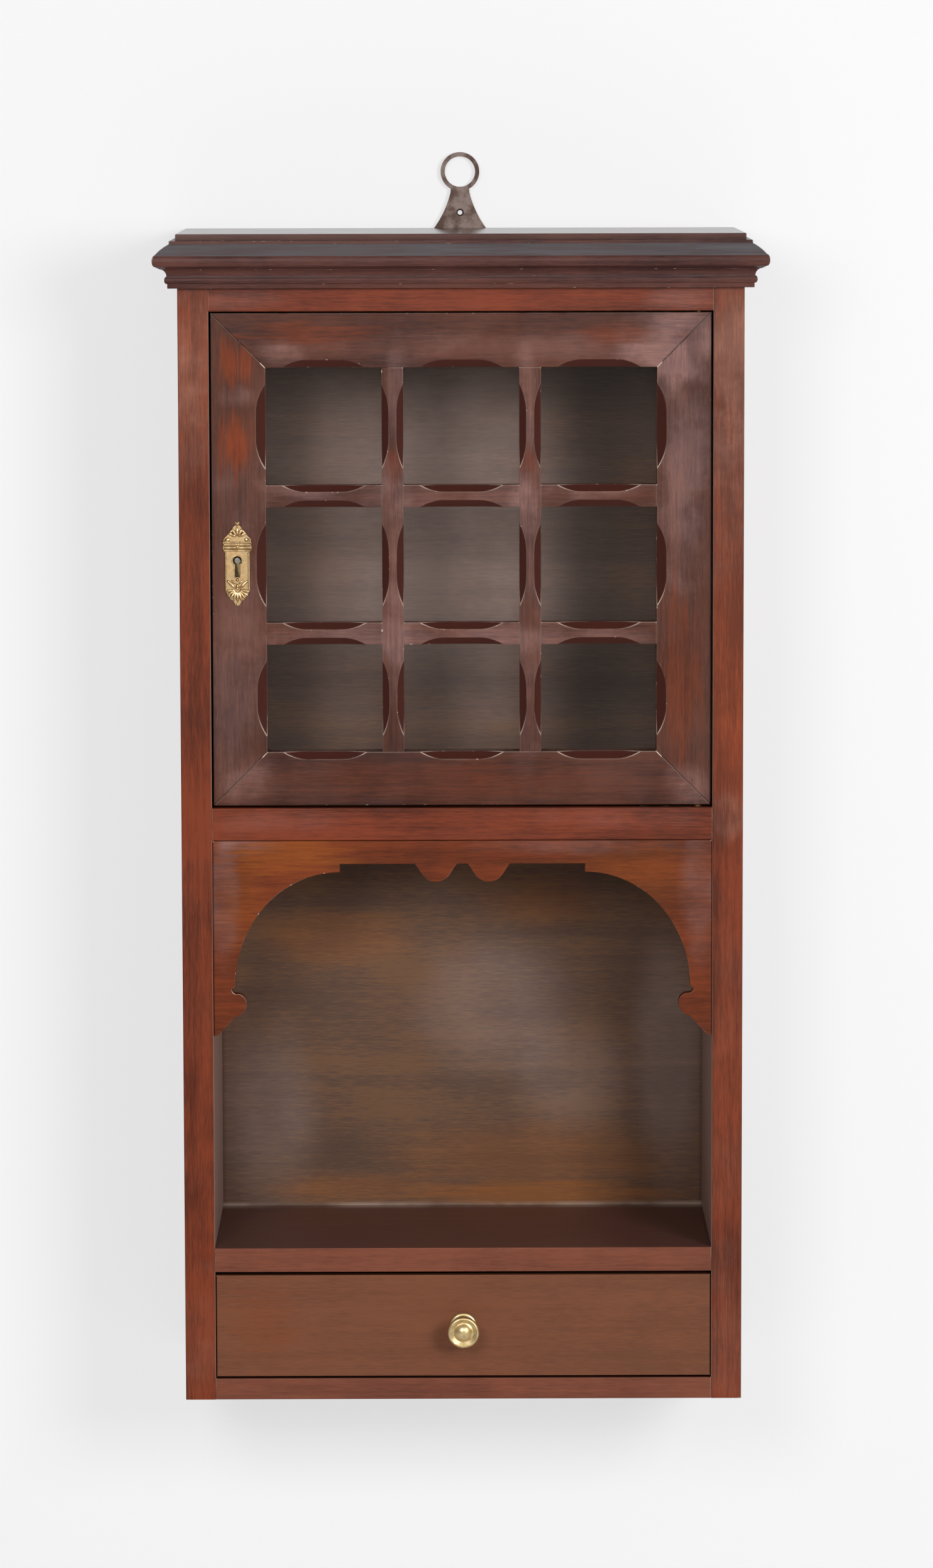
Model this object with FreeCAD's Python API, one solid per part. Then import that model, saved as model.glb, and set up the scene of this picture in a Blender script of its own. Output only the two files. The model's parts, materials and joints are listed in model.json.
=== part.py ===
import FreeCAD, Part
import math
import os

from FreeCAD import Placement, Rotation, Vector

# A mahogany wall cabinet: a moulded cornice, a lattice door with glass and a lock, an open niche
# under a fretted apron, and one drawer. It hangs from an iron eye plate let into its back.
# The origin is the centre of that eye on the wall. X runs to the right as seen from the front,
# Y runs into the wall and Z runs up. All sizes are in millimetres.

# Values that all pieces share
overrun = 4.0
touch = 0.001
arris = 0.6

# Case boards
case_width = 390.0
case_depth = 165.0
side_thickness = 21.2
side_arris = 0.8
back_thickness = 8.0
back_rebate = 9.0
housing_depth = 7.0
housing_setback = 14.0
roof_thickness = 21.0
roof_show = 16.0
frieze_thickness = 15.0
door_opening_height = 344.0
mid_thickness = 22.5
niche_height = 288.0
shelf_thickness = 17.0
drawer_opening_height = 76.0
bottom_thickness = 15.0

# Cap board, cornice and bed mould: heights run down from the cap, outs are projections from the case
cap_thickness = 4.6
cap_overhang = 1.0
ledge_out = 5.2
ledge_height = 2.1
slope_out = 14.6
slope_height = 7.4
slope_sag = 0.6
nose_out = 16.5
nose_height = 7.9
nose_foot_out = 11.0
nose_foot_height = 1.8
cove_out = 10.4
cove_height = 4.4
cove_sag = 0.8
neck_out = 6.9
neck_height = 0.6
bead_out = 8.4
bead_height = 5.0
fillet_out = 6.4
fillet_height = 3.2

# Hanger plate
eye_rise = 40.0
eye_radius = 10.8
ring_radius = 13.8
hanger_thickness = 2.8
hanger_neck_width = 13.4
hanger_neck_drop = 14.5
hanger_flare_sag = 1.4
hanger_foot_width = 37.0
hanger_leg = 46.0
hanger_corner = 6.0
wall_screw_radius = 1.65
wall_screw_drop = 29.0
wall_screw_sink = 1.0
hanger_screw_spread = 22.0
hanger_screw_length = 18.0

# Apron under the door: drops are measured down from the board above, insets in from the side board
apron_thickness = 9.0
apron_recess = 0.5
apron_edge_round = 1.6
apron_tongue = 4.0
apron_tongue_height = 5.0
apron_edge_drop = 16.6
arch_step_drop = 22.4
arch_step_half = 85.3
arch_end_inset = 15.3
arch_end_drop = 102.5
nick_inset = 13.0
nick_drop = 104.3
toe_start_inset = 15.8
toe_start_drop = 108.0
toe_tip_inset = 23.2
toe_tip_drop = 113.6
heel_inset = 15.2
heel_drop = 124.1
foot_corner_inset = 4.2
foot_corner_drop = 136.2
foot_drop = 137.4
pendant_place = 18.4
pendant_top_half = 14.6
pendant_lobe_half = 9.6
pendant_flank = 7.4
pendant_depth = 12.8

# Door frame, lattice bars and glass
door_gap = 1.2
door_recess = 4.5
door_thickness = 18.0
frame_width = 37.6
lip_thickness = 10.0
glass_rebate = 6.5
glass_thickness = 2.0
glass_clearance = 0.8
bead_clearance = 0.1
bead_setback = 0.6
upright_width = 15.0
rung_width = 15.4
bar_chamfer = 4.9
stile_chamfer = 6.8
rail_chamfer = 5.3
chamfer_stop = 11.0
upright_runout = 20.5
level_runout = 17.0
bar_tenon_length = 6.0
bar_tenon_thickness = 4.0
bar_tenon_setback = 3.0
bar_tenon_shoulder = 2.5
mitre_key_length = 20.0
mitre_key_width = 15.0
mitre_key_thickness = 3.0
mitre_key_setback = 3.5
pane_column_shares = (1 / 3, 1 / 3, 1 / 3)
pane_row_shares = (0.317, 0.339, 0.344)

# Door pivots
pivot_inset = 9.0
pivot_setback = 4.0
pivot_pin_radius = 2.0
pivot_pin_length = 7.0
pivot_pin_clearance = 0.05
pivot_bore_clearance = 0.5
pivot_plate_thickness = 2.0
pivot_plate_width = 6.4
pivot_plate_reach = 40.0
pivot_collar_clearance = 0.1
pivot_screw_length = 12.0
pivot_screw_shares = (0.55, 0.95)

# Lock, keyhole plate and strike
keyhole_place_share = 0.468
keyhole_radius = 3.5
keyhole_slot_width = 3.8
keyhole_slot_drop = 11.5
drill_pin_radius = 2.0
drill_pin_setback = 2.0
lock_margin = 5.1
lock_rise = 19.0
lock_drop = 17.0
lock_depth = 9.0
lock_wall = 1.2
selvedge_thickness = 2.0
selvedge_ear = 9.0
bolt_rise = 3.0
bolt_height = 10.0
bolt_thickness = 5.4
bolt_tail_gap = 5.0
bolt_setback = 0.2
bolt_clearance = 0.2
bolt_throw = 6.0
bolt_talon_width = 8.0
bolt_talon_depth = 4.0
strike_thickness = 1.5
strike_margin = 9.0
strike_side_margin = 3.0
strike_clearance = 0.5
mortise_clearance = 1.0
door_stop_width = 8.0
door_stop_thickness = 8.0
door_stop_gap = 0.3
door_stop_end_clearance = 2.0

# Keyhole plate: heights are measured from the middle of the keyhole
plate_thickness = 1.2
plate_half = 8.75
plate_top = 6.5
plate_foot = -21.5
strip_half = 9.8
strip_top = 13.1
scroll_half = 9.2
scroll_top = 15.4
crest_half = 5.6
crest_shoulder = 19.5
crest_waist_half = 2.4
crest_waist = 24.6
finial_half = 1.5
crest_top = 27.3
shell_half = 6.1
shell_shoulder = -24.4
shell_low_half = 2.2
shell_low = -29.2
shell_tip = -31.9
plate_pin_radius = 0.6
plate_pin_head = 1.1
plate_pin_length = 7.0
plate_pin_rise = 9.8
plate_pin_drop = -19.0

# Drawer
drawer_side_gap = 0.6
drawer_low_gap = 1.2
drawer_top_gap = 2.4
drawer_recess = 1.0
drawer_front_thickness = 16.0
drawer_front_arris = 0.8
drawer_rear_gap = 10.0
drawer_side_thickness = 8.0
drawer_side_height = 62.0
runner_gap = 0.3
drawer_panel_thickness = 4.0
drawer_panel_rise = 7.0
drawer_groove = 4.0
drawer_back_thickness = 8.0
drawer_back_inset = 6.0
drawer_back_housing = 3.0
drawer_back_lower = 4.0
tail_lap = 4.0
tail_count = 3
tail_flare = 1.4
tail_root_share = 0.56
drawer_stop_size = 20.0
drawer_stop_height = 3.6
drawer_stop_gap = 0.3
drawer_stop_place_share = 0.55

# Knob and rose: outs are measured from the face of the drawer
knob_rise_share = 0.49
rose_radius = 10.0
rose_thickness = 2.4
rose_step_radius = 7.2
rose_step = 0.8
knob_base_radius = 5.4
knob_waist_radius = 3.7
knob_waist_out = 9.0
knob_throat_radius = 7.4
knob_throat_out = 16.4
knob_rim_radius = 11.1
knob_rim_low_out = 18.6
knob_rim_out = 20.6
knob_rim_top_out = 22.3
knob_lip_radius = 9.6
knob_groove_radius = 6.9
knob_groove_out = 20.8
knob_dome_radius = 6.1
knob_dome_low_out = 21.2
knob_dome_out = 24.0
knob_screw_radius = 2.0
knob_screw_clearance = 0.1
knob_screw_grip = 9.0
knob_screw_head_radius = 4.0
knob_screw_head_height = 2.6

# Wood screws
screw_clearance = 0.05
small_screw_radius = 1.1
small_screw_head = 2.0
back_screw_radius = 1.5
back_screw_head = 2.9
back_screw_length = 24.0
back_screw_sink = 0.2
back_screw_shares = (-0.86, -0.3, 0.3, 0.86)
hanger_screw_radius = 1.8
hanger_screw_head = 3.4
lock_screw_length = 9.0
strike_screw_length = 9.0
slot_width_share = 0.28
slot_depth_share = 0.5
screw_head_share = 0.9

# Planes that follow from those sizes
half_case = case_width / 2
half_open = half_case - side_thickness
front = -case_depth
back_face = -back_thickness
cap_top = -eye_rise
cap_low = cap_top - cap_thickness
cornice_low = cap_low - ledge_height - slope_height - nose_height - nose_foot_height
bed_low = cornice_low - cove_height - neck_height - bead_height - fillet_height
roof_low = bed_low - roof_show
roof_top = roof_low + roof_thickness
mid_top = roof_low - door_opening_height
mid_low = mid_top - mid_thickness
shelf_top = mid_low - niche_height
shelf_low = shelf_top - shelf_thickness
bottom_top = shelf_low - drawer_opening_height
case_low = bottom_top - bottom_thickness

door_left = -half_open + door_gap
door_right = -door_left
door_low = mid_top + door_gap
door_top = roof_low - door_gap
door_front = front + door_recess
door_back = door_front + door_thickness
glass_front = door_front + lip_thickness
glass_back = glass_front + glass_thickness
inner_left = door_left + frame_width
inner_right = -inner_left
inner_low = door_low + frame_width
inner_top = door_top - frame_width
pivot_x = door_right - pivot_inset
pivot_y = door_front + pivot_setback
keyhole_x = door_left + frame_width * keyhole_place_share
keyhole_z = (door_low + door_top) / 2
lock_front = door_back - lock_depth
lock_width = frame_width - glass_rebate - lock_margin
bolt_length = lock_width - bolt_tail_gap
bolt_low = keyhole_z + bolt_rise
bolt_front = lock_front + (lock_depth - bolt_thickness) / 2

drawer_half = half_open - drawer_side_gap
drawer_low = bottom_top + drawer_low_gap
drawer_top = shelf_low - drawer_top_gap
drawer_front = front + drawer_recess
drawer_shoulder = drawer_front + drawer_front_thickness
drawer_end = back_face - drawer_rear_gap
drawer_side_low = bottom_top + runner_gap
drawer_panel_low = drawer_side_low + drawer_panel_rise
drawer_panel_top = drawer_panel_low + drawer_panel_thickness
knob_z = drawer_low + (drawer_top - drawer_low) * knob_rise_share

nodes = {}


def block(x0, x1, y0, y1, z0, z1):
    """A rectangular solid between two corners."""
    return Part.makeBox(x1 - x0, y1 - y0, z1 - z0, Vector(x0, y0, z0))


def rod(radius, start, end):
    """A round rod between two points."""
    return Part.makeCylinder(radius, (end - start).Length, start, end - start)


def closed_wire(start, steps, place):
    """A closed outline: a step of two values is a line, one of four is an arc through its first pair."""
    edges = []
    here = start
    for step in list(steps) + [start]:
        end = tuple(step[-2:])
        if len(step) > len(end):
            edges.append(Part.Arc(place(*here), place(*step[:2]), place(*end)).toShape())
        elif (place(*end) - place(*here)).Length > touch:
            edges.append(Part.LineSegment(place(*here), place(*end)).toShape())
        here = end
    return Part.Wire(edges)


def extruded(start, steps, place, travel):
    """A closed outline drawn out along a vector."""
    return Part.Face(closed_wire(start, steps, place)).extrude(travel)


def mirrored(shape):
    """The same piece for the other side of the cabinet."""
    return shape.mirror(Vector(0, 0, 0), Vector(1, 0, 0))


def near(value, place):
    return abs(value - place) < touch


def eased(shape, radius, chosen):
    """The shape with a rounded arris on each edge whose middle passes the test."""
    return shape.makeFillet(radius, [edge for edge in shape.Edges if chosen(edge.CenterOfMass)])


def arc_middle(start, end, sag):
    """The middle point of an arc from start to end that bows sideways by sag."""
    run = math.hypot(end[0] - start[0], end[1] - start[1])
    across = ((end[1] - start[1]) / run, (start[0] - end[0]) / run)
    return ((start[0] + end[0]) / 2 + across[0] * sag, (start[1] + end[1]) / 2 + across[1] * sag)


def screw(place, into, length, shank, head, grow=0.0):
    """A countersunk screw with a slotted head; grown, it is the hole for one."""
    head_height = head * screw_head_share
    body = Part.makeCone(head + grow, shank + grow, head_height)
    body = body.fuse(Part.makeCylinder(shank + grow, length + grow)).removeSplitter()
    if grow:
        body = body.fuse(Part.makeCylinder(head + grow, overrun, Vector(0, 0, -overrun)))
    else:
        half_slot = head * slot_width_share / 2
        depth = head_height * slot_depth_share
        body = body.cut(block(-head, head, -half_slot, half_slot, -depth, depth))
    body.Placement = Placement(place, Rotation(Vector(0, 0, 1), into))
    return body


def drilled(name, places, into, length, shank, head, carriers):
    """One node of equal screws, with a hole for each in the pieces that carry them."""
    nodes[name] = Part.makeCompound([screw(place, into, length, shank, head) for place in places])
    for carrier in carriers:
        for place in places:
            hole = screw(place, into, length, shank, head, screw_clearance)
            nodes[carrier] = nodes[carrier].cut(hole)


def make_sides():
    """Two full-height boards, rebated for the back and housed for the four level boards."""
    side = block(half_open, half_case, front, 0, case_low, cap_low)
    side = eased(side, side_arris, lambda p: near(p.y, front) and near(p.z, (case_low + cap_low) / 2))
    side = side.cut(block(half_open - overrun, half_open + back_rebate, back_face, overrun,
                          case_low - overrun, cap_low + overrun))
    levels = ((roof_low, roof_top), (mid_low, mid_top), (shelf_low, shelf_top), (case_low, bottom_top))
    for low, top in levels:
        side = side.cut(block(half_open - overrun, half_open + housing_depth,
                              front + housing_setback, back_face, low, top))
    nodes["side_right"] = side
    nodes["side_left"] = mirrored(side)


def level_board(low, top):
    """A board between the sides, with stopped tongues in their housings and softened front edges."""
    board = block(-half_open, half_open, front, back_face, low, top)
    board = eased(board, arris, lambda p: near(p.y, front) and near(p.x, 0))
    reach = half_open + housing_depth
    return board.fuse(block(-reach, reach, front + housing_setback, back_face, low, top)).removeSplitter()


def make_level_boards():
    nodes["roof_board"] = level_board(roof_low, roof_top)
    nodes["mid_board"] = level_board(mid_low, mid_top)
    nodes["niche_shelf"] = level_board(shelf_low, shelf_top)
    nodes["bottom_board"] = level_board(case_low, bottom_top)
    nodes["frieze_rail"] = block(-half_open, half_open, front, front + frieze_thickness, roof_top, cap_low)


def make_back_and_cap():
    """The back panel in its rebates and the thin cap board over the case."""
    reach = half_open + back_rebate
    nodes["back_panel"] = block(-reach, reach, back_face, 0, case_low, cap_low)
    edge = half_case + cap_overhang
    cap = block(-edge, edge, front - cap_overhang, 0, cap_low, cap_top)
    nodes["top_cap"] = eased(cap, arris, lambda p: near(p.z, cap_top) and not near(p.y, 0))


def cornice_outline():
    """The upper moulding from under the cap down to its lower bed."""
    slope_start = (ledge_out, cap_low - ledge_height)
    slope_end = (slope_out, slope_start[1] - slope_height)
    nose_end = (slope_out, slope_end[1] - nose_height)
    nose_tip = (nose_out, (slope_end[1] + nose_end[1]) / 2)
    steps = [(ledge_out, cap_low), slope_start, arc_middle(slope_start, slope_end, -slope_sag) + slope_end,
             nose_tip + nose_end, (nose_foot_out, cornice_low), (0, cornice_low)]
    return (0, cap_low), steps


def bed_outline():
    """The lower moulding: a cove, a bead and a fillet."""
    cove_start = (cove_out, cornice_low)
    cove_end = (neck_out, cornice_low - cove_height)
    bead_start = (neck_out, cove_end[1] - neck_height)
    bead_end = (neck_out, bead_start[1] - bead_height)
    bead_tip = (bead_out, (bead_start[1] + bead_end[1]) / 2)
    steps = [cove_start, arc_middle(cove_start, cove_end, cove_sag) + cove_end, bead_start,
             bead_tip + bead_end, (fillet_out, bead_end[1]), (fillet_out, bed_low), (0, bed_low)]
    return (0, cornice_low), steps


def make_moulding(name, outline):
    """A moulding round the front and both sides, mitred at the corners."""
    start, steps = outline
    reach = half_case + nose_out + overrun
    front_run = extruded(start, steps, lambda out, z: Vector(-reach, front - out, z),
                         Vector(2 * reach, 0, 0))
    side_run = extruded(start, steps, lambda out, z: Vector(half_case + out, front - reach, z),
                        Vector(0, reach - front, 0))
    corner = [(half_case, front), (half_case + reach, front - reach), (half_case + reach, front)]
    wedge = extruded(corner[0], corner[1:], lambda x, y: Vector(x, y, bed_low - overrun),
                     Vector(0, 0, cap_top - bed_low + overrun))
    nodes[name + "_front"] = front_run.cut(wedge).cut(mirrored(wedge))
    behind = block(half_case, half_case + reach, front, 0, bed_low - overrun, cap_top)
    nodes[name + "_right"] = side_run.common(wedge.fuse(behind)).removeSplitter()
    nodes[name + "_left"] = mirrored(nodes[name + "_right"])


def make_hanger():
    """An iron eye plate, let in flush with the back, rising above the cap."""
    half_neck = hanger_neck_width / 2
    half_foot = hanger_foot_width / 2
    leg_low = cap_top - hanger_leg
    neck = (half_neck, -hanger_neck_drop)
    foot = (half_foot, cap_top)
    corner_start = (half_foot, leg_low + hanger_corner)
    corner_end = (half_foot - hanger_corner, leg_low)
    corner_sag = hanger_corner * (1 - math.sqrt(0.5))
    corner = (half_foot - corner_sag, leg_low + corner_sag)

    def other(point):
        return (-point[0], point[1])

    def on_face(x, z):
        return Vector(x, -hanger_thickness, z)

    flare = arc_middle(neck, foot, hanger_flare_sag)
    steps = [flare + foot, corner_start, corner + corner_end, other(corner_end),
             other(corner) + other(corner_start), other(foot), other(flare) + other(neck), (-half_neck, 0),
             (half_neck, 0)]
    plate = extruded(neck, steps, on_face, Vector(0, hanger_thickness, 0))
    plate = plate.fuse(rod(ring_radius, Vector(0, -hanger_thickness, 0), Vector(0, 0, 0))).removeSplitter()
    plate = plate.cut(rod(eye_radius, Vector(0, -hanger_thickness - overrun, 0), Vector(0, overrun, 0)))
    hole = Vector(0, -hanger_thickness, -wall_screw_drop)
    plate = plate.cut(rod(wall_screw_radius, hole, hole + Vector(0, hanger_thickness, 0)))
    sink = Part.makeCone(wall_screw_radius + wall_screw_sink, wall_screw_radius, wall_screw_sink, hole,
                         Vector(0, 1, 0))
    nodes["hanger_plate"] = plate.cut(sink)
    leg = extruded(neck, steps, on_face, Vector(0, hanger_thickness + overrun, 0))
    for carrier in ("back_panel", "top_cap"):
        nodes[carrier] = nodes[carrier].cut(leg)
    height = (roof_low + roof_top) / 2
    places = [Vector(side * hanger_screw_spread / 2, 0, height) for side in (-1, 1)]
    drilled("hanger_screws", places, Vector(0, -1, 0), hanger_screw_length, hanger_screw_radius,
            hanger_screw_head, ("hanger_plate", "back_panel", "roof_board"))


def make_back_screws():
    """Slotted screws through the back panel into the rear edges of the four boards."""
    heights = [(low + top) / 2 for low, top in ((roof_low, roof_top), (mid_low, mid_top),
                                               (shelf_low, shelf_top), (case_low, bottom_top))]
    places = [Vector(share * half_open, -back_screw_sink, z) for z in heights for share in back_screw_shares]
    drilled("back_screws", places, Vector(0, -1, 0), back_screw_length, back_screw_radius, back_screw_head,
            ("back_panel", "roof_board", "mid_board", "niche_shelf", "bottom_board"))


def apron_half_steps():
    """The lower edge of the right half, from the side board to the middle."""
    span_x = half_open - arch_end_inset - arch_step_half
    span_z = arch_end_drop - arch_step_drop

    def inset(distance, drop):
        return (half_open - distance, drop)

    def arch(turn):
        return (arch_step_half + span_x * math.sin(turn), arch_end_drop - span_z * math.cos(turn))

    foot_corner = inset(foot_corner_inset, foot_corner_drop)
    toe_tip = inset(toe_tip_inset, toe_tip_drop)
    toe_start = inset(toe_start_inset, toe_start_drop)
    nick = inset(nick_inset, nick_drop)
    heel = inset(heel_inset, heel_drop)
    foot_end = (half_open, foot_drop)
    nick_bow = (toe_start_drop - nick_drop) / 4
    toe_bow = (toe_tip_inset - toe_start_inset) / 4
    heel_bow = (heel_drop - toe_tip_drop) / 4
    corner_bow = (foot_drop - foot_corner_drop) / 3
    lobe_left = (pendant_place - pendant_lobe_half, apron_edge_drop + pendant_flank)
    lobe_right = (pendant_place + pendant_lobe_half, apron_edge_drop + pendant_flank)
    lobe_low = (pendant_place, apron_edge_drop + pendant_depth)
    return [(half_open, 0), foot_end,
            arc_middle(foot_end, foot_corner, corner_bow) + foot_corner, heel,
            arc_middle(heel, toe_tip, heel_bow) + toe_tip,
            arc_middle(toe_tip, toe_start, toe_bow) + toe_start,
            arc_middle(toe_start, nick, -nick_bow) + nick,
            arch(math.pi / 2), arch(math.pi * 3 / 8) + arch(math.pi / 4),
            arch(math.pi / 8) + arch(0), (arch_step_half, apron_edge_drop),
            (pendant_place + pendant_top_half, apron_edge_drop), lobe_right,
            lobe_low + lobe_left, (pendant_place - pendant_top_half, apron_edge_drop),
            (0, apron_edge_drop)]


def make_apron():
    """A fretted board under the door, tongued into the board above it."""
    face = front + apron_recess
    half = extruded((0, 0), apron_half_steps(), lambda x, drop: Vector(x, face, mid_low - drop),
                    Vector(0, apron_thickness, 0))
    apron = half.fuse(mirrored(half)).removeSplitter()
    apron = eased(apron, apron_edge_round, lambda p: near(p.y, face)
                  and (near(p.z, mid_low) or near(abs(p.x), half_open)))
    tongue_front = face + (apron_thickness - apron_tongue) / 2
    tongue = block(-half_open, half_open, tongue_front, tongue_front + apron_tongue,
                   mid_low, mid_low + apron_tongue_height)
    nodes["apron"] = apron.fuse(tongue).removeSplitter()
    nodes["mid_board"] = nodes["mid_board"].cut(tongue)


def mitred_frame(left, right, low, top, width, y0, y1):
    """The four mitred members of a rectangular frame, by the side they lie on."""
    outer = ((left, low), (right, low), (right, top), (left, top))
    inner = ((left + width, low + width), (right - width, low + width),
             (right - width, top - width), (left + width, top - width))
    members = {}
    for index, side in enumerate(("bottom", "right", "top", "left")):
        after = (index + 1) % len(outer)
        steps = [outer[after], inner[after], inner[index]]
        members[side] = extruded(outer[index], steps, lambda x, z: Vector(x, y0, z), Vector(0, y1 - y0, 0))
    return members


def pane_spans(low, high, bar, shares):
    """The clear spans between two frame edges that bars of equal width divide by the given shares."""
    clear = high - low - bar * (len(shares) - 1)
    spans = []
    here = low
    for share in shares:
        spans.append((here, here + clear * share))
        here += clear * share + bar
    return spans


def stopped_chamfer(corner, along, inward, length, leg, runout):
    """A cutter for a chamfer that stops short of both ends of an edge and curves out to the arris."""
    depth = leg * math.sqrt(0.5)
    bow = (runout ** 2 + depth ** 2) / (2 * depth)
    half_angle = math.atan2(runout, bow - depth) / 2
    lean = bow * math.sin(half_angle)
    sink = depth - bow * (1 - math.cos(half_angle))
    begin = chamfer_stop
    end = length - chamfer_stop
    start = (begin, 0)
    steps = [(begin + runout - lean, sink, begin + runout, depth), (end - runout, depth),
             (end - runout + lean, sink, end, 0),
             (end, -overrun), (begin, -overrun)]
    across = along.cross(inward) * (leg + overrun)
    return extruded(start, steps, lambda s, d: corner - across + along * s + inward * d, across * 2)


def bar_blanks(columns, rows):
    """Uprights and rungs with stub tenons, halved where they cross, and the tenons by themselves."""
    tenon_front = door_front + bar_tenon_setback
    tenon_back = tenon_front + bar_tenon_thickness
    half_depth = door_front + lip_thickness / 2
    upright_spans = [(before[1], after[0]) for before, after in zip(columns, columns[1:])]
    rung_spans = [(before[1], after[0]) for before, after in zip(rows, rows[1:])]
    tenons = []
    uprights = []
    rungs = []
    for x0, x1 in upright_spans:
        tenons.append(block(x0 + bar_tenon_shoulder, x1 - bar_tenon_shoulder, tenon_front, tenon_back,
                            inner_low - bar_tenon_length, inner_top + bar_tenon_length))
        bar = block(x0, x1, door_front, glass_front, inner_low, inner_top).fuse(tenons[-1])
        for z0, z1 in rung_spans:
            bar = bar.cut(block(x0, x1, half_depth, glass_front, z0, z1))
        uprights.append(bar.removeSplitter())
    for z0, z1 in rung_spans:
        tenons.append(block(inner_left - bar_tenon_length, inner_right + bar_tenon_length, tenon_front,
                            tenon_back, z0 + bar_tenon_shoulder, z1 - bar_tenon_shoulder))
        bar = block(inner_left, inner_right, door_front, glass_front, z0, z1).fuse(tenons[-1])
        for x0, x1 in upright_spans:
            bar = bar.cut(block(x0, x1, door_front, half_depth, z0, z1))
        rungs.append(bar.removeSplitter())
    return uprights, rungs, tenons


def chamfer_panes(columns, rows, standing, lying):
    """Cut a stopped chamfer along the four edges of every pane, in the member that bounds it."""
    slant = math.sqrt(0.5)

    def leg(index, members, frame_chamfer):
        return bar_chamfer if 0 < index < len(members) - 1 else frame_chamfer

    for column, (x0, x1) in enumerate(columns):
        for row, (z0, z1) in enumerate(rows):
            for index, x, turn in ((column, x0, -slant), (column + 1, x1, slant)):
                cutter = stopped_chamfer(Vector(x, door_front, z0), Vector(0, 0, 1), Vector(turn, slant, 0),
                                         z1 - z0, leg(index, standing, stile_chamfer), upright_runout)
                standing[index] = standing[index].cut(cutter)
            for index, z, turn in ((row, z0, -slant), (row + 1, z1, slant)):
                cutter = stopped_chamfer(Vector(x0, door_front, z), Vector(1, 0, 0), Vector(0, slant, turn),
                                         x1 - x0, leg(index, lying, rail_chamfer), level_runout)
                lying[index] = lying[index].cut(cutter)


def make_door():
    """A mitred frame with keyed corners round a lattice of chamfered bars."""
    frame = mitred_frame(door_left, door_right, door_low, door_top, frame_width, door_front, door_back)
    rebate = block(inner_left - glass_rebate, inner_right + glass_rebate, glass_front, door_back + overrun,
                   inner_low - glass_rebate, inner_top + glass_rebate)
    columns = pane_spans(inner_left, inner_right, upright_width, pane_column_shares)
    rows = pane_spans(inner_low, inner_top, rung_width, pane_row_shares)
    uprights, rungs, tenons = bar_blanks(columns, rows)
    keys = make_mitre_keys()
    for side, member in frame.items():
        member = eased(member, arris, lambda p: near(p.y, door_front)
                       and (near(abs(p.x), door_right) or near(p.z, door_low) or near(p.z, door_top)))
        for cutter in [rebate] + tenons + keys:
            member = member.cut(cutter)
        frame[side] = member
    standing = [frame["left"]] + uprights + [frame["right"]]
    lying = [frame["bottom"]] + rungs + [frame["top"]]
    chamfer_panes(columns, rows, standing, lying)
    standing_names = ("door_stile_left", "lattice_upright_left", "lattice_upright_right", "door_stile_right")
    lying_names = ("door_rail_bottom", "lattice_rung_lower", "lattice_rung_upper", "door_rail_top")
    nodes.update(zip(standing_names, standing))
    nodes.update(zip(lying_names, lying))


def make_mitre_keys():
    """Loose wooden keys across the four mitres of the door frame."""
    keys = []
    y0 = door_front + mitre_key_setback
    for side in (-1, 1):
        for z_out, up in ((door_low, 1), (door_top, -1)):
            key = block(-mitre_key_length / 2, mitre_key_length / 2, 0, mitre_key_thickness,
                        -mitre_key_width / 2, mitre_key_width / 2)
            middle = Vector(side * (door_right - frame_width / 2), y0, z_out + up * frame_width / 2)
            key.Placement = Placement(middle, Rotation(Vector(0, 1, 0), 45 * side * up))
            keys.append(key)
    nodes["mitre_keys"] = Part.makeCompound(keys)
    return keys


def make_glazing():
    """One sheet of glass behind the lattice, held in the rebate by four mitred beads."""
    slack = glass_rebate - glass_clearance
    nodes["glass_pane"] = block(inner_left - slack, inner_right + slack, glass_front, glass_back,
                                inner_low - slack, inner_top + slack)
    reach = glass_rebate - bead_clearance
    beads = mitred_frame(inner_left - reach, inner_right + reach, inner_low - reach, inner_top + reach,
                         reach, glass_back, door_back - bead_setback)
    for side, bead in beads.items():
        nodes["glass_bead_" + side] = bead


def pivot_plate(low):
    """A brass strap with round ends, its middle line through the pivot."""
    half = pivot_plate_width / 2
    far = pivot_x - pivot_plate_reach
    plate = block(far, pivot_x, pivot_y - half, pivot_y + half, low, low + pivot_plate_thickness)
    for x in (far, pivot_x):
        plate = plate.fuse(Part.makeCylinder(half, pivot_plate_thickness, Vector(x, pivot_y, low)))
    return plate.removeSplitter()


def pivot_rod(radius, low, top):
    return rod(radius, Vector(pivot_x, pivot_y, low), Vector(pivot_x, pivot_y, top))


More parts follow.
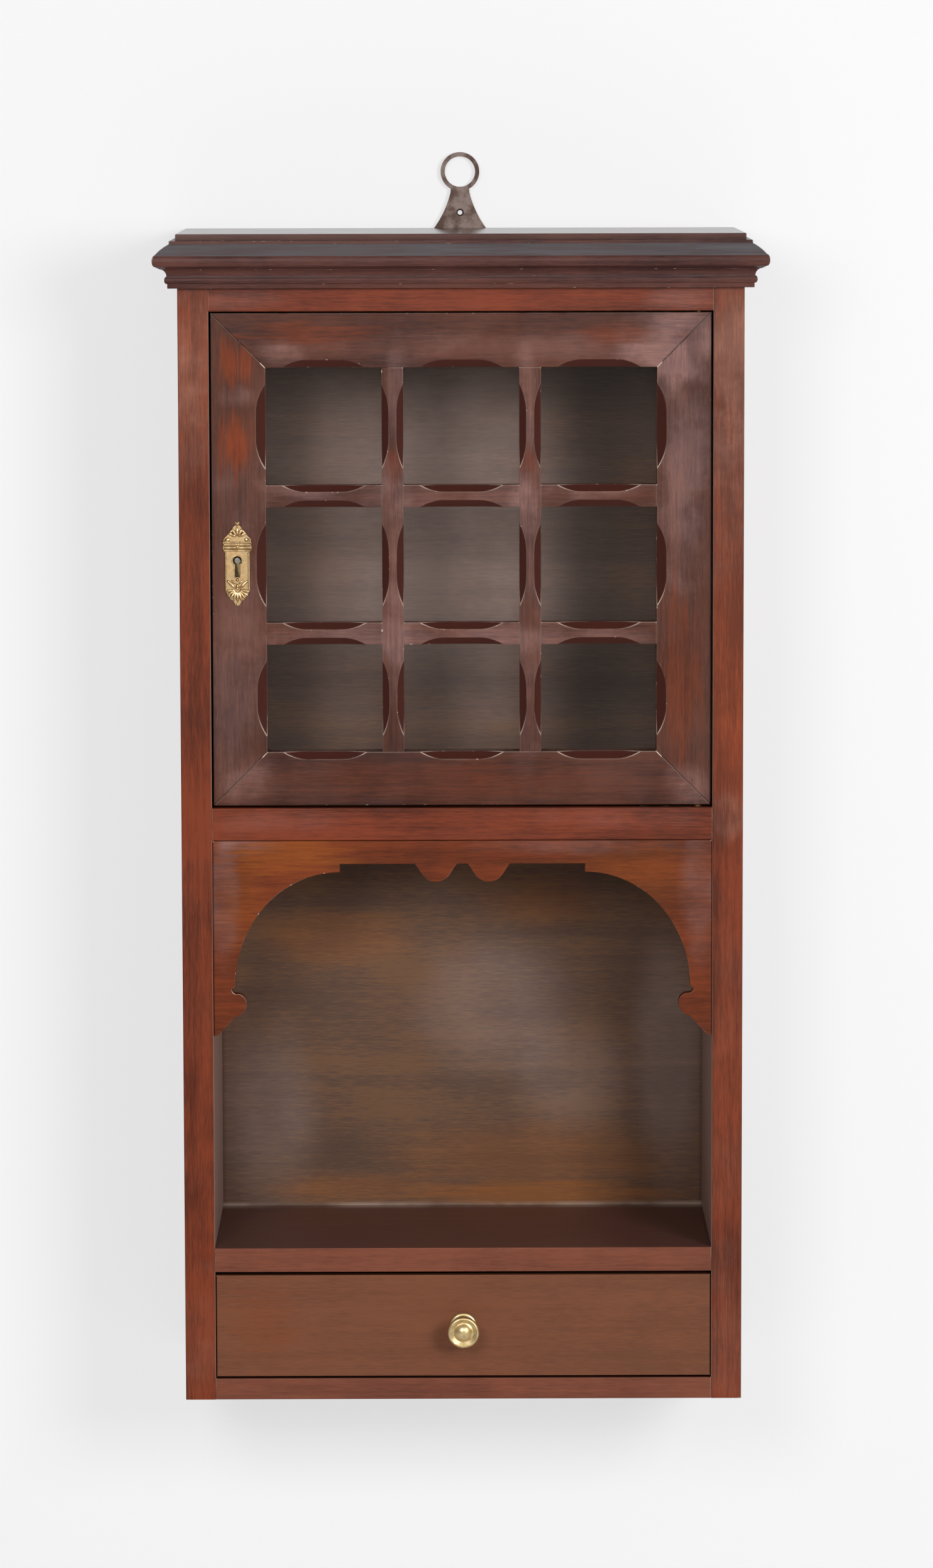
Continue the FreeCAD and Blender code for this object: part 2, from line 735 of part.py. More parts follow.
def make_pivots():
    """Pin plates in the case, hole plates in the door, each let in flush and held by two screws."""
    case_low_plate = pivot_plate(mid_top - pivot_plate_thickness)
    case_top_plate = pivot_plate(roof_low)
    nodes["mid_board"] = nodes["mid_board"].cut(case_low_plate)
    nodes["roof_board"] = nodes["roof_board"].cut(case_top_plate)
    pin_top = mid_top + pivot_pin_length
    pin_low = roof_low - pivot_pin_length
    collar = pivot_rod(pivot_plate_width / 2, mid_top, door_low - pivot_collar_clearance)
    low_pin = pivot_rod(pivot_pin_radius, mid_top - pivot_plate_thickness, pin_top)
    top_pin = pivot_rod(pivot_pin_radius, pin_low, roof_low + pivot_plate_thickness)
    nodes["pivot_plate_lower"] = case_low_plate.fuse(low_pin).fuse(collar).removeSplitter()
    nodes["pivot_plate_upper"] = case_top_plate.fuse(top_pin).removeSplitter()
    door_low_plate = pivot_plate(door_low)
    door_top_plate = pivot_plate(door_top - pivot_plate_thickness)
    wide = pivot_pin_radius + pivot_bore_clearance
    bores = (pivot_rod(wide, door_low, pin_top + pivot_bore_clearance),
             pivot_rod(wide, pin_low - pivot_bore_clearance, door_top))
    for name in ("door_stile_right", "door_rail_top", "door_rail_bottom"):
        for cutter in (door_low_plate, door_top_plate) + bores:
            nodes[name] = nodes[name].cut(cutter)
    hole = pivot_rod(pivot_pin_radius + pivot_pin_clearance, door_low - overrun, door_top + overrun)
    nodes["door_pivot_plate_lower"] = door_low_plate.cut(hole)
    nodes["door_pivot_plate_upper"] = door_top_plate.cut(hole)
    up = Vector(0, 0, 1)
    for name, z, into, carriers in (
            ("pivot_screws_lower", mid_top, -up, ("pivot_plate_lower", "mid_board")),
            ("pivot_screws_upper", roof_low, up, ("pivot_plate_upper", "roof_board")),
            ("door_pivot_screws_lower", door_low, up, ("door_pivot_plate_lower", "door_rail_bottom")),
            ("door_pivot_screws_upper", door_top, -up, ("door_pivot_plate_upper", "door_rail_top"))):
        places = [Vector(pivot_x - pivot_plate_reach * share, pivot_y, z) for share in pivot_screw_shares]
        drilled(name, places, into, pivot_screw_length, small_screw_radius, small_screw_head, carriers)


def keyhole(y0, y1):
    """The round and slotted hole for the key."""
    half = keyhole_slot_width / 2
    hole = rod(keyhole_radius, Vector(keyhole_x, y0, keyhole_z), Vector(keyhole_x, y1, keyhole_z))
    slot = block(keyhole_x - half, keyhole_x + half, y0, y1, keyhole_z - keyhole_slot_drop, keyhole_z)
    return hole.fuse(slot)


def make_lock():
    """A brass lock let into the back of the left stile, with its bolt, drill pin and cap."""
    low = keyhole_z - lock_drop
    top = keyhole_z + lock_rise
    right = door_left + lock_width
    cap_front = door_back - lock_wall
    body = block(door_left, right, lock_front, door_back, low, top)
    selvedge = block(door_left, door_left + selvedge_thickness, lock_front, door_back,
                     low - selvedge_ear, top + selvedge_ear)
    envelope = body.fuse(selvedge).removeSplitter()
    nodes["door_stile_left"] = nodes["door_stile_left"].cut(envelope)
    nodes["door_stile_left"] = nodes["door_stile_left"].cut(keyhole(door_front - overrun, lock_front))
    cap = block(door_left + selvedge_thickness, right, cap_front, door_back, low, top)
    cavity = block(door_left + selvedge_thickness, right - lock_wall, lock_front + lock_wall, cap_front,
                   low + lock_wall, top - lock_wall)
    bolt_back = bolt_front + bolt_thickness
    bolt_left = door_left + bolt_setback
    slot = block(door_left - overrun, door_left + selvedge_thickness, bolt_front - bolt_clearance,
                 bolt_back + bolt_clearance, bolt_low - bolt_clearance,
                 bolt_low + bolt_height + bolt_clearance)
    case = envelope.cut(cap).cut(cavity).cut(slot)
    nodes["lock_case"] = case.cut(keyhole(lock_front - overrun, lock_front + lock_wall))
    pin = rod(drill_pin_radius, Vector(keyhole_x, door_front + drill_pin_setback, keyhole_z),
              Vector(keyhole_x, door_back, keyhole_z))
    nodes["lock_drill_pin"] = pin
    nodes["lock_cap"] = cap.cut(pin)
    bolt = block(bolt_left, bolt_left + bolt_length, bolt_front, bolt_back, bolt_low, bolt_low + bolt_height)
    half_talon = bolt_talon_width / 2
    nodes["lock_bolt"] = bolt.cut(block(keyhole_x - half_talon, keyhole_x + half_talon, bolt_front, bolt_back,
                                        bolt_low, bolt_low + bolt_talon_depth))
    middle = (lock_front + door_back) / 2
    places = [Vector(door_left, middle, low - selvedge_ear / 2),
              Vector(door_left, middle, top + selvedge_ear / 2)]
    drilled("lock_screws", places, Vector(1, 0, 0), lock_screw_length, small_screw_radius, small_screw_head,
            ("lock_case", "door_stile_left"))


def make_strike():
    """The brass strike in the left side board, the mortise behind it, and the strip the door shuts on."""
    bolt_back = bolt_front + bolt_thickness
    bolt_top = bolt_low + bolt_height
    plate = block(-half_open - strike_thickness, -half_open, bolt_front - strike_side_margin,
                  bolt_back + strike_side_margin, bolt_low - strike_margin, bolt_top + strike_margin)
    mortise = block(-half_open - bolt_throw - mortise_clearance, -half_open + overrun,
                    bolt_front - strike_clearance, bolt_back + strike_clearance,
                    bolt_low - strike_clearance, bolt_top + strike_clearance)
    nodes["strike_plate"] = plate.cut(mortise)
    nodes["side_left"] = nodes["side_left"].cut(plate).cut(mortise)
    middle = (bolt_front + bolt_back) / 2
    places = [Vector(-half_open, middle, bolt_low - strike_margin / 2),
              Vector(-half_open, middle, bolt_top + strike_margin / 2)]
    drilled("strike_screws", places, Vector(-1, 0, 0), strike_screw_length, small_screw_radius,
            small_screw_head, ("strike_plate", "side_left"))
    stop_front = door_back + door_stop_gap
    nodes["door_stop"] = block(-half_open, -half_open + door_stop_width, stop_front,
                               stop_front + door_stop_thickness, mid_top + door_stop_end_clearance,
                               roof_low - door_stop_end_clearance)


def make_keyhole_plate():
    """The brass plate round the keyhole, with a crest above and a shell below, held by two pins."""
    right_edge = [(shell_low_half, shell_low), (shell_half, shell_shoulder), (plate_half, plate_foot),
                  (plate_half, plate_top), (strip_half, plate_top), (strip_half, strip_top),
                  (scroll_half, strip_top), (scroll_half, scroll_top), (crest_half, crest_shoulder),
                  (crest_waist_half, crest_waist), (finial_half, crest_waist), (finial_half, crest_top)]
    left_edge = [(-x, z) for x, z in reversed(right_edge)]

    def place(x, z):
        return Vector(keyhole_x + x, door_front - plate_thickness, keyhole_z + z)

    plate = extruded((0, shell_tip), right_edge + left_edge, place, Vector(0, plate_thickness, 0))
    nodes["escutcheon"] = plate.cut(keyhole(door_front - plate_thickness, door_front))
    pins = []
    for rise in (plate_pin_rise, plate_pin_drop):
        face = Vector(keyhole_x, door_front - plate_thickness, keyhole_z + rise)
        shank = rod(plate_pin_radius, face, face + Vector(0, plate_pin_length, 0))
        head = Part.makeSphere(plate_pin_head, face, Vector(0, -1, 0), 0, 90, 360)
        pins.append(head.fuse(shank))
        for carrier in ("escutcheon", "door_stile_left"):
            hole = rod(plate_pin_radius + screw_clearance, face - Vector(0, overrun, 0),
                       face + Vector(0, plate_pin_length, 0))
            nodes[carrier] = nodes[carrier].cut(hole)
    nodes["escutcheon_pins"] = Part.makeCompound(pins)


def drawer_tails():
    """The dovetails at the front end of the right drawer side."""
    pitch = drawer_side_height / tail_count
    root_half = pitch * tail_root_share / 2
    tails = []
    for index in range(tail_count):
        middle = drawer_side_low + pitch * (index + 0.5)
        start = (drawer_shoulder, middle - root_half)
        steps = [(drawer_front + tail_lap, middle - root_half - tail_flare),
                 (drawer_front + tail_lap, middle + root_half + tail_flare),
                 (drawer_shoulder, middle + root_half)]
        tails.append(extruded(start, steps, lambda y, z: Vector(drawer_half - drawer_side_thickness, y, z),
                              Vector(drawer_side_thickness, 0, 0)))
    return tails


def make_drawer():
    """A drawer on the bottom board: half-blind dovetails in front, a housed back and a grooved bottom."""
    inner = drawer_half - drawer_side_thickness
    side_top = drawer_side_low + drawer_side_height
    panel = block(-inner - drawer_groove, inner + drawer_groove, drawer_shoulder - drawer_groove, drawer_end,
                  drawer_panel_low, drawer_panel_top)
    back_end = drawer_end - drawer_back_inset
    back = block(-inner - drawer_back_housing, inner + drawer_back_housing, back_end - drawer_back_thickness,
                 back_end, drawer_panel_top, side_top - drawer_back_lower)
    side = block(inner, drawer_half, drawer_shoulder, drawer_end, drawer_side_low, side_top)
    face = block(-drawer_half, drawer_half, drawer_front, drawer_shoulder, drawer_low, drawer_top)
    face = eased(face, drawer_front_arris, lambda p: near(p.y, drawer_front))
    for tail in drawer_tails():
        side = side.fuse(tail)
        face = face.cut(tail).cut(mirrored(tail))
    side = side.removeSplitter().cut(panel).cut(back)
    nodes["drawer_front"] = face.cut(panel)
    nodes["drawer_side_right"] = side
    nodes["drawer_side_left"] = mirrored(side)
    nodes["drawer_back"] = back
    nodes["drawer_bottom"] = panel
    stop_front = drawer_shoulder + drawer_stop_gap
    stops = []
    for side_sign in (-1, 1):
        x = side_sign * half_open * drawer_stop_place_share
        stops.append(block(x - drawer_stop_size / 2, x + drawer_stop_size / 2, stop_front,
                           stop_front + drawer_stop_size, bottom_top, bottom_top + drawer_stop_height))
    nodes["drawer_stops"] = Part.makeCompound(stops)


def turned(start, steps):
    """A turned brass piece on the knob's axis; the outline gives radius and distance out."""
    outline = closed_wire(start, steps, lambda radius, out: Vector(radius, drawer_front - out, knob_z))
    return Part.Face(outline).revolve(Vector(0, 0, knob_z), Vector(0, 1, 0), 360)


def make_knob():
    """A turned knob with a raised button, its rose, and the screw that holds both."""
    rose_edge = (rose_radius, 0)
    rose_shoulder = (rose_step_radius, rose_thickness - rose_step)
    rose = turned((0, 0), [rose_edge, arc_middle(rose_edge, rose_shoulder, rose_step) + rose_shoulder,
                           (rose_step_radius, rose_thickness), (0, rose_thickness)])
    rim_low = (knob_lip_radius, knob_rim_low_out)
    rim_top = (knob_lip_radius, knob_rim_top_out)
    groove = (knob_groove_radius, knob_groove_out)
    throat = (knob_throat_radius, knob_throat_out)
    dome_rise = knob_dome_out - knob_dome_low_out
    dome_ball = (knob_dome_radius ** 2 + dome_rise ** 2) / (2 * dome_rise)
    half_angle = math.asin(knob_dome_radius / dome_ball) / 2
    dome_shoulder = (dome_ball * math.sin(half_angle), knob_dome_out - dome_ball * (1 - math.cos(half_angle)))
    knob = turned((0, rose_thickness), [
        (knob_base_radius, rose_thickness), (knob_waist_radius, knob_waist_out) + throat, rim_low,
        (knob_rim_radius, knob_rim_out) + rim_top, groove, (knob_dome_radius, knob_dome_low_out),
        dome_shoulder + (0, knob_dome_out)])
    inside = Vector(0, drawer_shoulder, knob_z)
    tip = Vector(0, drawer_front - rose_thickness - knob_screw_grip, knob_z)
    hole = rod(knob_screw_radius + knob_screw_clearance, tip, inside)
    nodes["drawer_knob"] = knob.cut(hole)
    nodes["knob_rose"] = rose.cut(hole)
    nodes["drawer_front"] = nodes["drawer_front"].cut(hole)
    head = rod(knob_screw_head_radius, inside, inside + Vector(0, knob_screw_head_height, 0))
    head = eased(head, arris, lambda p: p.y > drawer_shoulder + knob_screw_head_height - touch)
    nodes["knob_screw"] = head.fuse(rod(knob_screw_radius, tip, inside)).removeSplitter()


make_sides()
make_level_boards()
make_back_and_cap()
make_moulding("cornice", cornice_outline())
make_moulding("bed_mould", bed_outline())
make_hanger()
make_apron()
make_back_screws()
make_door()
make_glazing()
make_pivots()
make_lock()
make_strike()
make_keyhole_plate()
make_drawer()
make_knob()

os.makedirs("parts", exist_ok=True)
for name, shape in nodes.items():
    shape.exportStep("parts/" + name + ".step")
print(len(nodes), "nodes, case height", round(cap_top - case_low, 1))
for name, shape in nodes.items():
    state = "ok" if shape.isValid() else "INVALID"
    print(name, len(shape.Solids), round(shape.Volume, 1), state)
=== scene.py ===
# %% [markdown]
# A mahogany wall cabinet, finished in Blender. The boards, mouldings, door, lock and drawer come from the
# workshop drawing with their joints, as one fixed frame. Nothing in that frame is moved or resized here.
# Each step below gives one part of the cabinet its real finish, or puts a finer mesh in the place of a
# plain fitting.

# %% Load the cabinet
import json
import math

import bmesh
import bpy
from mathutils import Color, Matrix, Vector


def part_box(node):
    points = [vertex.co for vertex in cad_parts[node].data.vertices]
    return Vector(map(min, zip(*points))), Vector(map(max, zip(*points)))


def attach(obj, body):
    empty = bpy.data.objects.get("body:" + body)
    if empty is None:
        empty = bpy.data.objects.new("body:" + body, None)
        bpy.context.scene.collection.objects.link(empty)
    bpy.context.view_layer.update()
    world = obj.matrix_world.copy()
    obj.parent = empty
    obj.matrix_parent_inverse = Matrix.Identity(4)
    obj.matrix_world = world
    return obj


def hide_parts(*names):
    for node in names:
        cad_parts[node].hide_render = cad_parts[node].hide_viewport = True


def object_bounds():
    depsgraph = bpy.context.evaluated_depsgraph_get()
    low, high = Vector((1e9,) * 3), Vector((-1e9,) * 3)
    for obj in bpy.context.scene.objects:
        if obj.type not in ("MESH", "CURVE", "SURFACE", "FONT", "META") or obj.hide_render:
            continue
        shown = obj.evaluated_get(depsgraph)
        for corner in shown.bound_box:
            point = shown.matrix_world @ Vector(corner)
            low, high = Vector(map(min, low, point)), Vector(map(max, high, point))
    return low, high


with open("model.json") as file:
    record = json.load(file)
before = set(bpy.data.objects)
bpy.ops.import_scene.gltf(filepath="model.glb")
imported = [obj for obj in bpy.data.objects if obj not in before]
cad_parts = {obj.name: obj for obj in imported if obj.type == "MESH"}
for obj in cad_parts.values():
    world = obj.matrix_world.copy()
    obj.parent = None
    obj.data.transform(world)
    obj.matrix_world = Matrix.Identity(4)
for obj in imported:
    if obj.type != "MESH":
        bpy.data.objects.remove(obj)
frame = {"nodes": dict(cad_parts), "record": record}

nodes = frame["nodes"]
scene = bpy.context.scene
cad_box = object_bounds()
slot_of = {part["node"]: part["material_slot"] for part in frame["record"]["subparts"]}

# %% [markdown]
# The camera stands where the photographer stood: about four metres off, just above the top of the cabinet
# and turned a little down. A long lens far away keeps the sides of the case almost parallel. The focal
# length is known in pixels of the photograph, so it is turned into a lens for a 36 mm tall sensor.

# %% Camera
photo_height = 2494
focal_pixels = 9217.0
sensor_height = 36.0
camera_place = (-0.0135, -4.157, 0.0586)
look_down = math.radians(6.841)
turn_left = math.radians(-0.253)
lean = math.radians(0.131)

lens = bpy.data.cameras.new("photo_camera")
lens.sensor_fit = "VERTICAL"
lens.sensor_height = sensor_height
lens.lens = focal_pixels / photo_height * sensor_height
camera = bpy.data.objects.new("photo_camera", lens)
camera.location = camera_place
camera.rotation_euler = (math.radians(90) - look_down, lean, turn_left)
scene.collection.objects.link(camera)
scene.camera = camera
scene.view_settings.view_transform = "Standard"
print("lens", round(lens.lens, 1), "mm")

# %% [markdown]
# One small helper makes every node below: it sets the node's options, and gives each input a value or wires
# it to another node's output. Colours are written as the eye sees them, from 0 to 255, and turned into the
# linear values that the renderer mixes.

# %% Helpers for node trees
def add(tree, kind, inputs=None, **settings):
    """One node, with its settings, and its inputs set to values or wired to other sockets."""
    made = tree.nodes.new(kind)
    for name, value in settings.items():
        setattr(made, name, value)
    for name, value in (inputs or {}).items():
        if isinstance(value, bpy.types.NodeSocket):
            tree.links.new(value, made.inputs[name])
        else:
            made.inputs[name].default_value = value
    return made


def wire(tree, kind, inputs=None, **settings):
    """The first output of one new node."""
    return add(tree, kind, inputs, **settings).outputs[0]


def tone(red, green, blue):
    """A colour from 0 to 255 as the linear colour that shaders use."""
    seen = Color((red / 255, green / 255, blue / 255))
    return (*seen.from_srgb_to_scene_linear(), 1.0)


def reckon(tree, operation, first, second=0.0):
    """The result of one sum on two values."""
    return wire(tree, "ShaderNodeMath", {0: first, 1: second}, operation=operation)


def times(tree, first, second):
    """Two values multiplied."""
    return reckon(tree, "MULTIPLY", first, second)


def remap(tree, value, low, high, to_low=0.0, to_high=1.0):
    """A value moved smoothly from one range to another, and held at its ends."""
    inputs = {"Value": value, "From Min": low, "From Max": high, "To Min": to_low, "To Max": to_high}
    return wire(tree, "ShaderNodeMapRange", inputs, interpolation_type="SMOOTHSTEP")


def blend(tree, share, first, second, kind="MIX"):
    """Two colours mixed by a share."""
    mixed = add(tree, "ShaderNodeMix", {0: share, 6: first, 7: second}, data_type="RGBA", blend_type=kind)
    return mixed.outputs[2]


def ramp(tree, value, stops):
    """A colour ramp through the given places and colours."""
    made = add(tree, "ShaderNodeValToRGB", {0: value})
    band = made.color_ramp
    while len(band.elements) < len(stops):
        band.elements.new(0.5)
    for element, (place, colour) in zip(band.elements, stops):
        element.position = place
        element.color = colour
    return made.outputs[0]


def split(tree, vector):
    """The three parts of a vector."""
    return add(tree, "ShaderNodeSeparateXYZ", {0: vector}).outputs


def vector_of(tree, **parts):
    """A vector from its X, Y and Z; a part that isn't given is nought."""
    return wire(tree, "ShaderNodeCombineXYZ", parts)


def new_material(name):
    """A material with an empty node tree, and that tree."""
    material = bpy.data.materials.new(name)
    material.use_nodes = True
    material.node_tree.nodes.clear()
    return material, material.node_tree


print("helpers ready")

# %% [markdown]
# The stage is a pale wall behind the cabinet and a pale floor under it. The wall is there for the camera
# and for reflections only, and only from its front, so that the back of the cabinet is lit and can be
# looked at too. It is partly paint and partly glow, so it stays nearly white and still shows the cabinet's
# shadow. The floor is clear from below, for a look at the underside.

# %% Wall and floor
floor_drop = 0.40
wall_gap = 0.002
stage_size = 12.0
wall_tone = tone(244, 244, 245)
wall_glow = tone(250, 250, 251)
wall_glow_share = 0.64
floor_tone = tone(238, 237, 235)
mottle_shade = 0.97


def stage_sheet(name, place, turn, material):
    """A large square sheet of the stage."""
    half = stage_size / 2
    mesh = bpy.data.meshes.new(name)
    corners = [(-half, -half, 0), (half, -half, 0), (half, half, 0), (-half, half, 0)]
    mesh.from_pydata(corners, [], [(0, 1, 2, 3)])
    mesh.transform(Matrix.Translation(place) @ Matrix.Rotation(turn, 4, "X"))
    mesh.materials.append(material)
    sheet = bpy.data.objects.new(name, mesh)
    scene.collection.objects.link(sheet)


def stage_paint(name, colour, glowing=False):
    """Matt, faintly mottled paint, clear from behind; glowing paint shows only to the eye and in mirrors."""
    material, tree = new_material(name)
    place = add(tree, "ShaderNodeTexCoord").outputs["Object"]
    mottle = add(tree, "ShaderNodeTexNoise", {"Vector": place, "Scale": 5.0, "Detail": 4.0}).outputs["Fac"]
    darker = tuple(mottle_shade * value for value in colour[:3]) + (1.0,)
    paint = wire(tree, "ShaderNodeBsdfDiffuse", {"Color": blend(tree, mottle, colour, darker)})
    behind = add(tree, "ShaderNodeNewGeometry").outputs["Backfacing"]
    shown = reckon(tree, "SUBTRACT", 1.0, behind)
    if glowing:
        light = wire(tree, "ShaderNodeEmission", {"Color": wall_glow, "Strength": 1.0})
        paint = wire(tree, "ShaderNodeMixShader", {0: wall_glow_share, 1: paint, 2: light})
        ray = add(tree, "ShaderNodeLightPath").outputs
        looking = reckon(tree, "MAXIMUM", ray["Is Camera Ray"], ray["Is Glossy Ray"])
        looking = reckon(tree, "MAXIMUM", looking, ray["Is Transmission Ray"])
        shown = times(tree, looking, shown)
    clear = wire(tree, "ShaderNodeBsdfTransparent")
    paint = wire(tree, "ShaderNodeMixShader", {0: shown, 1: clear, 2: paint})
    add(tree, "ShaderNodeOutputMaterial", {"Surface": paint})
    return material


floor_height = cad_box[0].z - floor_drop
wall_paint = stage_paint("wall_paint", wall_tone, glowing=True)
stage_sheet("wall", (0, wall_gap, 0), math.radians(90), wall_paint)
floor_paint = stage_paint("floor_paint", floor_tone)
stage_sheet("floor", (0, 0, floor_height), 0, floor_paint)
print("floor at", round(floor_height, 3), "m")

# %% [markdown]
# Two soft boxes light the cabinet from the front, one well to the right and one a little to the left, both
# only slightly above it. The shadows in the open niche tell where they stood: the deeper the shadow of a
# side board on the back panel, the further out its lamp. The room's own light fills the rest.

# %% Light
lamp_size = 0.8
lamp_distance = 2.8
room_light = 0.26


def soft_box(name, turn, rise, power):
    """A square soft light that looks at the middle of the cabinet."""
    lamp = bpy.data.lights.new(name, "AREA")
    lamp.size = lamp_size
    lamp.energy = power
    box = bpy.data.objects.new(name, lamp)
    middle = (cad_box[0] + cad_box[1]) / 2
    flat = lamp_distance * math.cos(rise)
    height = lamp_distance * math.sin(rise)
    box.location = middle + Vector((flat * math.sin(turn), -flat * math.cos(turn), height))
    box.rotation_euler = (middle - box.location).to_track_quat("-Z", "Y").to_euler()
    scene.collection.objects.link(box)


soft_box("soft_box_left", turn=math.radians(-15), rise=math.radians(17), power=24.0)
soft_box("soft_box_right", turn=math.radians(28), rise=math.radians(13), power=41.0)
world = bpy.data.worlds.new("room")
scene.world = world
world.use_nodes = True
room = world.node_tree
room.nodes.clear()
ray = add(room, "ShaderNodeLightPath").outputs
strength = remap(room, ray["Is Camera Ray"], 0.0, 1.0, room_light, 1.0)
glow = wire(room, "ShaderNodeBackground", {"Color": tone(250, 250, 250), "Strength": strength})
add(room, "ShaderNodeOutputWorld", {"Surface": glow})
print("room light", room_light)

# %% [markdown]
# Every finish starts from one principled shader and from where a point lies on the cabinet. Wood figure,
# tarnish and dust are all noise, each as coarse or fine as on the real thing.

# %% Helpers for finishes
def new_finish(name, fixed):
    """A material with one principled shader and its fixed inputs, its node tree and that shader."""
    material, tree = new_material(name)
    surface = add(tree, "ShaderNodeBsdfPrincipled", fixed)
    add(tree, "ShaderNodeOutputMaterial", {"Surface": surface.outputs[0]})
    add(tree, "ShaderNodeTexCoord", name="place")
    return material, tree, surface


def object_place(tree):
    """Where a point lies in the cabinet's own frame, in metres."""
    return tree.nodes["place"].outputs["Object"]


def vector_sum(tree, operation, first, second=(0, 0, 0)):
    """The results of one sum on two vectors."""
    return add(tree, "ShaderNodeVectorMath", {0: first, 1: second}, operation=operation).outputs


def field(tree, size, detail=3.0, roughness=0.55):
    """Noise whose features have the given sizes along X, Y and Z, in metres."""
    scale = [1 / length for length in size]
    place = wire(tree, "ShaderNodeMapping", {"Vector": object_place(tree), "Scale": scale})
    inputs = {"Vector": place, "Scale": 1.0, "Detail": detail, "Roughness": roughness}
    return add(tree, "ShaderNodeTexNoise", inputs).outputs["Fac"]


rim_size = (0.035,) * 3
rim_reach = 1.25


def patch_share(tree, patches, raggedness, ragged_size=rim_size, soft=0.8):
    """Patches on the front with ragged, soft rims, from their middles, half sizes and strengths."""
    ragged = field(tree, ragged_size, detail=6.0, roughness=0.62)
    ragged = remap(tree, ragged, 0.0, 1.0, 0.5 - raggedness / 2, 0.5 + raggedness / 2)
    total = 0.0
    for *sizes, strength in patches:
        x, z, wide, tall = (size / 1000 for size in sizes)
        apart = vector_sum(tree, "SUBTRACT", object_place(tree), (x, 0, z))[0]
        shrunk = vector_sum(tree, "MULTIPLY", apart, (1 / wide, 0, 1 / tall))[0]
        reach = vector_sum(tree, "LENGTH", shrunk)["Value"]
        reach = reckon(tree, "ADD", reach, ragged)
        patch = remap(tree, reach, rim_reach + soft / 2, rim_reach - soft / 2, 0.0, strength)
        total = reckon(tree, "ADD", total, patch)
    return total


print("finish helpers ready")

# %% [markdown]
# Mahogany shows broad ribbons of darker and lighter wood, fine streaks along the grain, and short dark
# pores. Each is noise, drawn out along the grain to the size that it has in a real board. Their sum picks
# the colour.

# %% Figure of the wood
ribbon_size = (0.30, 0.016)
streak_size = (0.07, 0.0022)
fleck_size = (0.011, 0.0008)
cloud_size = (0.07,) * 3
ribbon_share = 0.35
streak_share = 0.25
cloud_share = 0.40
figure_low = 0.43
figure_middle = 0.50
figure_high = 0.57


def along_grain(along, length, across):
    """Feature sizes that are long in the direction of the grain."""
    return [length if axis == along else across for axis in "XYZ"]


def shade(colour, factor):
    """A darker or lighter colour; a lighter one also leans to orange."""
    red, green, blue = colour[:3]
    return (red * factor, green * factor ** 0.9, blue * factor ** 0.7, 1.0)


def wood_figure(tree, along, fine):
    """The figure of a board, with a given share of fine flecks in it, and its streaks and flecks alone."""
    ribbons = field(tree, along_grain(along, *ribbon_size))
    streaks = field(tree, along_grain(along, *streak_size), detail=4.0)
    flecks = field(tree, along_grain(along, *fleck_size), detail=2.0, roughness=0.6)
    clouds = field(tree, cloud_size, detail=4.0)
    figure = times(tree, flecks, fine)
    for part, share in ((ribbons, ribbon_share), (streaks, streak_share), (clouds, cloud_share)):
        figure = reckon(tree, "ADD", figure, times(tree, part, share * (1 - fine)))
    return figure, streaks, flecks


print("figure shares", ribbon_share, streak_share, cloud_share)

# %% [markdown]
# Handling wears polish through to pale wood on an arris. The same pale tone, where an arris looks up or to
# the side, is a painted highlight of the lamps on the polish. An arris is found by comparing the true normal
# with one rounded over a small radius: on a flat face they agree, at an edge they do not. Corners between
# pieces are darkened with painted shade, found by a short occlusion; dust settles at the back of the shelf,
# and each mitre of the door shows a line.

# %% Worn and highlighted arrises, painted shade in corners, and dust
worn_and_highlight_tone = tone(238, 214, 196)
dust_tone = tone(186, 164, 148)
joint_and_shade_tone = tone(34, 16, 10)
crevice_reach = 0.005
rub_size = (0.02,) * 3
chip_size = (0.004,) * 3
dust_size = (0.05,) * 3
shelf_dust = 0.014
foot_dust = 0.0035
mitre_wide = 0.0012
mitre_core = 0.0004


def worn_and_highlit_edges(tree, amount, downward, edge_radius, patchy):
    """A rounded normal, and the share of rubbed or chipped arris and painted highlight, less looking down.
    """
    rounded = wire(tree, "ShaderNodeBevel", {"Radius": edge_radius}, samples=8)
    true = add(tree, "ShaderNodeNewGeometry").outputs["Normal"]
    same = vector_sum(tree, "DOT_PRODUCT", rounded, true)["Value"]
    edge = remap(tree, same, 0.997, 0.95)
    rubbed = remap(tree, field(tree, rub_size, detail=4.0), patchy, patchy + 0.2, 0.08, 1.0)
    chipped = remap(tree, field(tree, chip_size, detail=2.0), 0.66, 0.70)
    own = wire(tree, "ShaderNodeVectorTransform", {"Vector": rounded}, vector_type="NORMAL",
               convert_from="WORLD", convert_to="OBJECT")
    x, _, z = split(tree, own)
    # Painted highlight: arrises that look up and to the sides, towards the lamps, get more of the pale tone.
    lit = remap(tree, z, 0.02, 0.28, downward, 1.0)
    sideways = remap(tree, reckon(tree, "ABSOLUTE", x), 0.05, 0.25, 0.18, 1.0)
    lit = times(tree, lit, sideways)
    share = times(tree, times(tree, rubbed, lit), amount)
    share = reckon(tree, "MAXIMUM", share, times(tree, chipped, 0.8 * amount))
    return rounded, times(tree, edge, share)


def crevice_shade_share(tree):
    """How far into a corner between two pieces a point lies, by occlusion: the share of painted shade there.
    """
    open_share = add(tree, "ShaderNodeAmbientOcclusion", {"Distance": crevice_reach}, samples=6)
    return remap(tree, open_share.outputs["AO"], 0.80, 0.40)


def settled_dust(tree):
    """Dust in a corner, thick in some places and nearly gone in others."""
    return remap(tree, field(tree, dust_size, detail=3.0), 0.38, 0.62, 0.25, 1.0)


